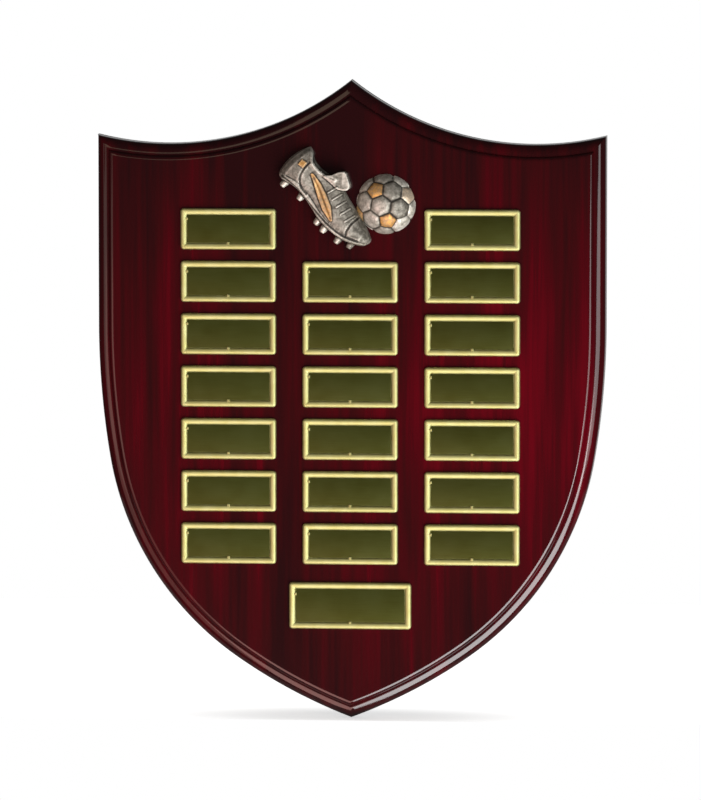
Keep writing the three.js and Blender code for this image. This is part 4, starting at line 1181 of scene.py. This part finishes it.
def hollows(mesh, rounds):
    """How far each point lies below the average of its surroundings: positive in valleys."""
    count = len(mesh.vertices)
    edges = np.zeros(len(mesh.edges) * 2, int)
    mesh.edges.foreach_get("vertices", edges)
    a, b = edges.reshape(-1, 2).T
    points, normals = vertex_values(mesh, "co"), vertex_values(mesh, "normal")
    degree = np.maximum(np.bincount(np.concatenate([a, b]), minlength=count), 1)[:, None]
    average = points.copy()
    for _ in range(rounds):
        total = np.zeros_like(average)
        for axis in range(3):
            values = average[:, axis]
            total[:, axis] = np.bincount(a, values[b], count) + np.bincount(b, values[a], count)
        average = total / degree
    return ((average - points) * normals).sum(1)


def note(mesh, name, values):
    """Stores one number per point, for the material to read."""
    mesh.attributes.new(name, "FLOAT", "POINT").data.foreach_set("value", np.asarray(values, np.float32))


valleys = hollows(boot.data, HOLLOW_ROUNDS)
kept_dark = np.where(dark < 0, dark, np.maximum(dark, soft_step(valleys, *VALLEY_DEPTHS)))
wash = WASH_LEFT + (1 - WASH_LEFT) * kept_dark - WASH_LEFT * soft_step(-valleys, *CREST_HEIGHTS)
note(boot.data, "wash", np.clip(wash, 0, 1))
note(boot.data, "gilt", gilt)
print("share of points kept dark:", round(float((wash > SEAM_WASH).mean()), 2))


# %% Put the boot in its place
def turned_flat(points, tilt):
    """Flat points, turned anticlockwise round the origin."""
    (x, y), cos, sin = points.T, math.cos(tilt), math.sin(tilt)
    return np.column_stack([x * cos - y * sin, x * sin + y * cos])


def place_relief(mesh, tilt, origin):
    """From the plane of the relief to its place on the board."""
    points = vertex_values(mesh, "co")
    flat = turned_flat(points[:, :2], tilt) + origin
    mesh.vertices.foreach_set("co", stand_up(np.column_stack([flat, points[:, 2] + ON_TAPE])).ravel())
    mesh.update()


place_relief(boot.data, BOOT_TILT, HEEL_PLACE)
print("the boot's front in mm:", round(float(-vertex_values(boot.data, "co")[:, 1].min() / MM), 2))

# %% [markdown]
# ## The ball
#
# The ball has twelve five-sided panels and thirty six-sided ones. The five-sided panels sit on the
# twelve corners of an icosahedron, and one six-sided panel lies across each of its thirty edges. The
# relief shows only a shallow cap of it. A fine grid over that cap is pressed in along every seam.

# %% Panels of the ball
BALL_RADIUS = 0.284 * BOOT_LENGTH
BALL_RELIEF = 11.5
BALL_TURN = np.radians([-0.9, -7.5, 21.8])
BALL_SEAT_SHARE = (0.719, 0.142)
BALL_BEARING = math.radians(63.4)
JOIN_DEPTH = 0.9
PENTAGONS, PENTAGON_SHARE = 12, 0.47
BALL_SEAM_WIDTH, BALL_SEAM_DEPTH = 0.6, 0.4
PANEL_SWELL, PANEL_SLOPE = 0.55, 3.0
PALE_PLACE_SHARE, PALE_HIGHLIGHT_GILT, PALE_PAINTED_HIGHLIGHT = 0.5, 0.35, 0.7  # painted highlight: the far right panel is made paler, with less gold, and lighter
BALL_PAINTED_SHADE = 0.34  # painted shade: the ball is made darker towards its right


def unit(vector):
    return vector / np.linalg.norm(vector)


def ball_panels():
    """The panels of the ball as (centre, corners in order) on a unit ball, the pentagons first."""
    golden = (1 + math.sqrt(5)) / 2
    signs = [(a, b) for a in (1, -1) for b in (1, -1)]
    poles = [unit(np.roll([0, a, b * golden], turn)) for a, b in signs for turn in (0, 1, 2)]
    numbers = range(PENTAGONS)
    pairs = [(i, j) for i in numbers for j in numbers[i + 1:] if poles[i] @ poles[j] > 0]
    faces = [(i, j, k) for i, j in pairs for k in numbers[j + 1:] if (i, k) in pairs and (j, k) in pairs]
    middles = {face: unit(sum(poles[i] for i in face)) for face in faces}

    def corner(i, face):
        return unit(poles[i] + (middles[face] - poles[i]) * PENTAGON_SHARE)

    def ordered(centre, corners):
        across = unit(corners[0] - centre * (corners[0] @ centre))
        up = np.cross(centre, across)
        return centre, sorted(corners, key=lambda p: math.atan2(p @ up, p @ across))

    panels = [ordered(poles[i], [corner(i, f) for f in faces if i in f]) for i in numbers]
    for i, j in pairs:
        both = [f for f in faces if i in f and j in f]
        corners = [p for f in both for p in (middles[f], corner(i, f), corner(j, f))]
        panels.append(ordered(unit(poles[i] + poles[j]), corners))
    return panels


panels = ball_panels()
print("ball panels:", len(panels), "with", sorted({len(corners) for _, corners in panels}), "sides")

# %% A fine cap, pressed in along the seams
turn_x, turn_y, turn_z = [Matrix.Rotation(a, 3, axis) for a, axis in zip(BALL_TURN, "XYZ")]
ball_turn = np.array(turn_z @ turn_y @ turn_x)
cap_angle = math.acos(1 - BALL_RELIEF / BALL_RADIUS)
RINGS, SPOKES = 84, 288
ring_outline = circle((0, 0), 1, SPOKES)
tilts = np.linspace(0, cap_angle, RINGS + 1)[1:]
rings = [at_height(math.sin(tilt) * ring_outline, math.cos(tilt)) for tilt in tilts]
directions = np.concatenate([[[0, 0, 1]], *rings])
on_ball = directions @ ball_turn

seam_gap = np.full(len(directions), np.inf)
panel_of = np.zeros(len(directions), int)
for number, (_, corners) in enumerate(panels):
    walls = np.array([unit(np.cross(a, b)) for a, b in zip(corners, corners[1:] + corners[:1])])
    depth = (on_ball @ walls.T).min(1) * BALL_RADIUS
    mine = depth >= 0
    seam_gap[mine] = depth[mine]
    panel_of[mine] = number
valley = near(seam_gap, BALL_SEAM_WIDTH)
centres = np.array([centre for centre, _ in panels]) @ ball_turn.T
highlight_gilt_share = np.where(centres[panel_of, 0] > PALE_PLACE_SHARE, PALE_HIGHLIGHT_GILT, 1)
gilded = soft_step(seam_gap, BALL_SEAM_WIDTH / 2, BALL_SEAM_WIDTH) * (panel_of < PENTAGONS) * highlight_gilt_share
swell = 1 - soft_step(seam_gap, 0, PANEL_SLOPE)
radius = BALL_RADIUS - BALL_SEAM_DEPTH * valley - PANEL_SWELL * swell
ball_points = directions * radius[:, None] + [0, 0, BALL_RELIEF - BALL_RADIUS]
ball_points[-SPOKES:, 2] = 0
faces = [(0, 1 + i, 1 + (i + 1) % SPOKES) for i in range(SPOKES)]
for ring in range(RINGS - 1):
    start = 1 + ring * SPOKES
    for i in range(SPOKES):
        j = (i + 1) % SPOKES
        faces.append((start + i, start + SPOKES + i, start + SPOKES + j, start + j))
faces.append(tuple(reversed(range(len(directions) - SPOKES, len(directions)))))
print("panels seen on the cap:", len(set(panel_of)), "- points in its seams:", int((valley > 1 / 2).sum()))

# %% Put the ball against the boot
ball_mesh = bpy.data.meshes.new("cast_ball")
ball_mesh.from_pydata(ball_points.tolist(), [], faces)
ball = bpy.data.objects.new("cast_ball", ball_mesh)
scene.collection.objects.link(ball)
# painted shade towards the right of the ball, less a painted highlight on the pale panel
shade = BALL_PAINTED_SHADE * directions[:, 0] - PALE_PAINTED_HIGHLIGHT * (highlight_gilt_share < 1)
note(ball_mesh, "wash", np.clip(WASH_LEFT / 2 + SEAM_WASH * valley + WASH_LEFT / 3 * swell + shade, 0, 1))
note(ball_mesh, "gilt", gilded)
base_radius = math.sqrt(BALL_RADIUS ** 2 - (BALL_RADIUS - BALL_RELIEF) ** 2)
bearing = np.array([math.cos(BALL_BEARING), math.sin(BALL_BEARING)])
seat = np.array(BALL_SEAT_SHARE) * BOOT_LENGTH + bearing * (base_radius - JOIN_DEPTH)
ball_place = turned_flat(seat[None], BOOT_TILT)[0] + HEEL_PLACE
place_relief(ball_mesh, 0, ball_place)
print("ball at", ball_place.round(1).tolist(), "mm, right of and above the hanging point")

# %% Antique silver with dark wash and gilding
PIT_SIZE, PIT_DEPTH = 2.381, 0.15

# Silver plate under a dark wash, wiped off by hand: bright crests, dark valleys, a satin and pitted skin;
# painted shade and a painted highlight ride on the wash
silver, tree, shader, place = new_material("antique_silver_casting")
# the point values hold the wash, painted shade towards the toe and the ball's right, and a painted
# highlight on one ball panel
wash = add_node(tree, "ShaderNodeAttribute", attribute_name="wash").outputs["Fac"]
gilt_mask = add_node(tree, "ShaderNodeAttribute", attribute_name="gilt").outputs["Fac"]
patina = add_node(tree, "ShaderNodeTexNoise", {
    "Vector": place, "Scale": per_metre(PIT_SIZE), "Detail": 5.0, "Roughness": 0.65})
grime = add_node(tree, "ShaderNodeMapRange", {
    "Value": patina, "From Min": 0.35, "From Max": 0.75, "To Min": 0.0, "To Max": 0.45})
darkness = add_node(tree, "ShaderNodeMath", {
    0: wash, 1: grime}, operation="ADD", use_clamp=True)
metal = add_node(tree, "ShaderNodeValToRGB", {"Fac": darkness}, stops=[
    (0.0, "E0DDD2"), (0.3, "A6A398"), (0.65, "615E55"), (1.0, "322F2B")])
gold_wear = add_node(tree, "ShaderNodeValToRGB", {"Fac": darkness}, stops=[
    (0.0, "F0C070"), (0.4, "CC9548"), (1.0, "74501F")])
rubbed = add_node(tree, "ShaderNodeMapRange", {
    "Value": patina, "From Min": 0.4, "From Max": 0.62, "To Min": 1.0, "To Max": 0.5})
gilding = add_node(tree, "ShaderNodeMath", {
    0: gilt_mask, 1: rubbed}, operation="MULTIPLY")
colour = add_node(tree, "ShaderNodeMix", {
    0: gilding, 6: metal, 7: gold_wear}, data_type="RGBA")
satin = add_node(tree, "ShaderNodeMapRange", {"Value": darkness, "To Min": 0.44, "To Max": 0.75})
pits = add_node(tree, "ShaderNodeBump", {
    "Height": patina, "Strength": 0.35, "Distance": PIT_DEPTH * MM})
set_inputs(tree, shader, {
    "Base Color": colour.outputs[2], "Roughness": satin, "Metallic": 0.55,
    "Normal": pits})
for piece in (boot, ball):
    piece.data.materials.clear()
    piece.data.materials.append(silver)
    smooth(piece, 60)
    hand_over(piece, ["boot_and_ball_casting"])

# %% [markdown]
# ## Floor, background and light
#
# The photograph shows the shield alone on white. The floor is pale and carries the soft shadow, and
# whatever lies behind it is white for the camera and for reflections. The brightest lamp stands low,
# almost at the height of the floor. So the shield stands at the front edge of the floor, where the
# floor cannot get between it and that lamp. The floor glows a little for the camera, so that it
# melts into the white behind it and keeps only the shadow.

# %% Floor
FLOOR_DROP = 330.5
FLOOR_LEFT, FLOOR_RIGHT, FLOOR_FRONT, FLOOR_BACK = -500, 500, -21, 600
SHADOW_SQUEEZE = (1, 3, 0)  # the shadow is three times as wide as it is deep
SHADOW_REACH = (30, 170)  # in squeezed mm: the glow is weakest up to the first and full from the second
GLOW_IN_SHADOW = 0.6

# Matt white paint on a level floor: it gives the shield a ground and draws no look itself
floor_paint, tree, shader, place = new_material("white_studio_floor")
set_inputs(tree, shader, {"Base Color": linear("F4F4F4"), "Roughness": 0.9})
flattened = add_node(tree, "ShaderNodeVectorMath", {0: place, 1: SHADOW_SQUEEZE}, operation="MULTIPLY")
from_foot = add_node(tree, "ShaderNodeVectorMath", {0: flattened}, operation="LENGTH")
glow_level = add_node(tree, "ShaderNodeMapRange", {
    "Value": from_foot.outputs["Value"], "From Min": SHADOW_REACH[0] * MM, "From Max": SHADOW_REACH[1] * MM,
    "To Min": GLOW_IN_SHADOW, "To Max": 1.0}, interpolation_type="SMOOTHSTEP")
glow = add_node(tree, "ShaderNodeEmission", {"Color": (1, 1, 1, 1), "Strength": glow_level})
lit = add_node(tree, "ShaderNodeAddShader", {0: shader, 1: glow})
path = add_node(tree, "ShaderNodeLightPath").outputs
seen = add_node(tree, "ShaderNodeMixShader", {0: path["Is Camera Ray"], 1: shader, 2: lit})
set_inputs(tree, tree.nodes["Material Output"], {"Surface": seen})
corners = [
    (FLOOR_LEFT, FLOOR_FRONT), (FLOOR_RIGHT, FLOOR_FRONT),
    (FLOOR_RIGHT, FLOOR_BACK), (FLOOR_LEFT, FLOOR_BACK),
]
floor_mesh = bpy.data.meshes.new("studio_floor")
floor_mesh.from_pydata([(x * MM, y * MM, -FLOOR_DROP * MM) for x, y in corners], [], [(0, 1, 2, 3)])
floor_mesh.materials.append(floor_paint)
studio_floor = bpy.data.objects.new("studio_floor", floor_mesh)
scene.collection.objects.link(studio_floor)
print("floor at", round(-FLOOR_DROP * MM, 4), "m")

# %% [markdown]
# A glossy board mirrors the room. Behind the shield the room is white. In front of it, where the
# camera stands, the room is dark, so the lacquer stays deep and only the lamps show in the moulding.

# %% World
FILL = 0.12  # what the room gives to dull surfaces
WALL_EDGES = (0.6, 0.95)  # how far behind the shield a mirrored direction points where the white begins
ROOM_DARK, ROOM_WHITE = 0.03, 1.0

world = bpy.data.worlds.new("studio")
world.use_nodes = True
scene.world = world
tree = world.node_tree
tree.nodes.clear()
path = add_node(tree, "ShaderNodeLightPath").outputs
direction = add_node(tree, "ShaderNodeTexCoord").outputs["Generated"]
depth = add_node(tree, "ShaderNodeSeparateXYZ", {0: direction}).outputs["Y"]
behind = add_node(tree, "ShaderNodeMapRange", {
    "Value": depth, "From Min": WALL_EDGES[0], "From Max": WALL_EDGES[1],
    "To Min": ROOM_DARK, "To Max": ROOM_WHITE})
fill, mirrored, white = [
    add_node(tree, "ShaderNodeBackground", {"Color": (1, 1, 1, 1), "Strength": strength})
    for strength in (FILL, behind, 1.0)]
surface = fill
for ray, shown in [("Is Glossy Ray", mirrored), ("Is Transmission Ray", white), ("Is Camera Ray", white)]:
    surface = add_node(tree, "ShaderNodeMixShader", {0: path[ray], 1: surface, 2: shown})
add_node(tree, "ShaderNodeOutputWorld", {"Surface": surface})
print("nodes of the world:", len(tree.nodes), "- fill", FILL)

# %% [markdown]
# The moulding tells where the studio lamps stood. A quarter round shows a lamp as a bright line, and
# the place of that line gives the lamp's direction. The lines are brightest at the lower right,
# weaker at the right and lower left, greyish at the left, and the top hollows stay nearly black. The
# lower lines are slightly pink and the upper ones slightly warm, so those lamps have a tint. One weak
# lamp behind the shield lights its left side, which the camera does not see. On the other side it
# would draw a line along the edge.

# %% Soft boxes
LAMP_DISTANCE = 2.2
LAMPS = [  # name; bearing and angle off the view in degrees; length and width in m; radiance; tint
    ("lower_right_box", -54, 44, 1.75, 1.5, 7.6, "FFFFFF"),
    ("right_box", 2, 39, 1.6, 1.2, 2.7, "FFFFFF"),
    ("lower_left_box", -138, 37, 1.5, 1.8, 0.95, "FFB4A8"),
    ("bottom_box", -109, 40, 1.6, 0.75, 2.6, "FFC4BC"),
    ("left_box", 178, 37, 1.5, 1.0, 0.6, "FFF0E0"),
    ("upper_left_box", 130, 35, 1.6, 0.5, 0.85, "FFE4C4"),
    ("back_box", 170, 150, 1.2, 1.2, 1.5, "FFFFFF"),
]

for name, bearing, off_axis, length, width, radiance, tint in LAMPS:
    bearing, off_axis = math.radians(bearing), math.radians(off_axis)
    across, ahead = math.sin(off_axis), math.cos(off_axis)
    ray = Vector((across * math.cos(bearing), -ahead, across * math.sin(bearing)))
    long_side = Vector((ahead * math.cos(bearing), across, ahead * math.sin(bearing)))
    data = bpy.data.lights.new(name, "AREA")
    data.shape = "RECTANGLE"
    data.size, data.size_y = length, width
    data.energy = radiance * length * width * math.pi
    data.color = linear(tint)[:3]
    lamp = bpy.data.objects.new(name, data)
    turn = Matrix((long_side, ray.cross(long_side), ray)).transposed().to_4x4()
    lamp.matrix_world = Matrix.Translation(AIM + ray * LAMP_DISTANCE) @ turn
    lamp.visible_camera = False
    scene.collection.objects.link(lamp)
    print(name, "power", round(data.energy, 1))
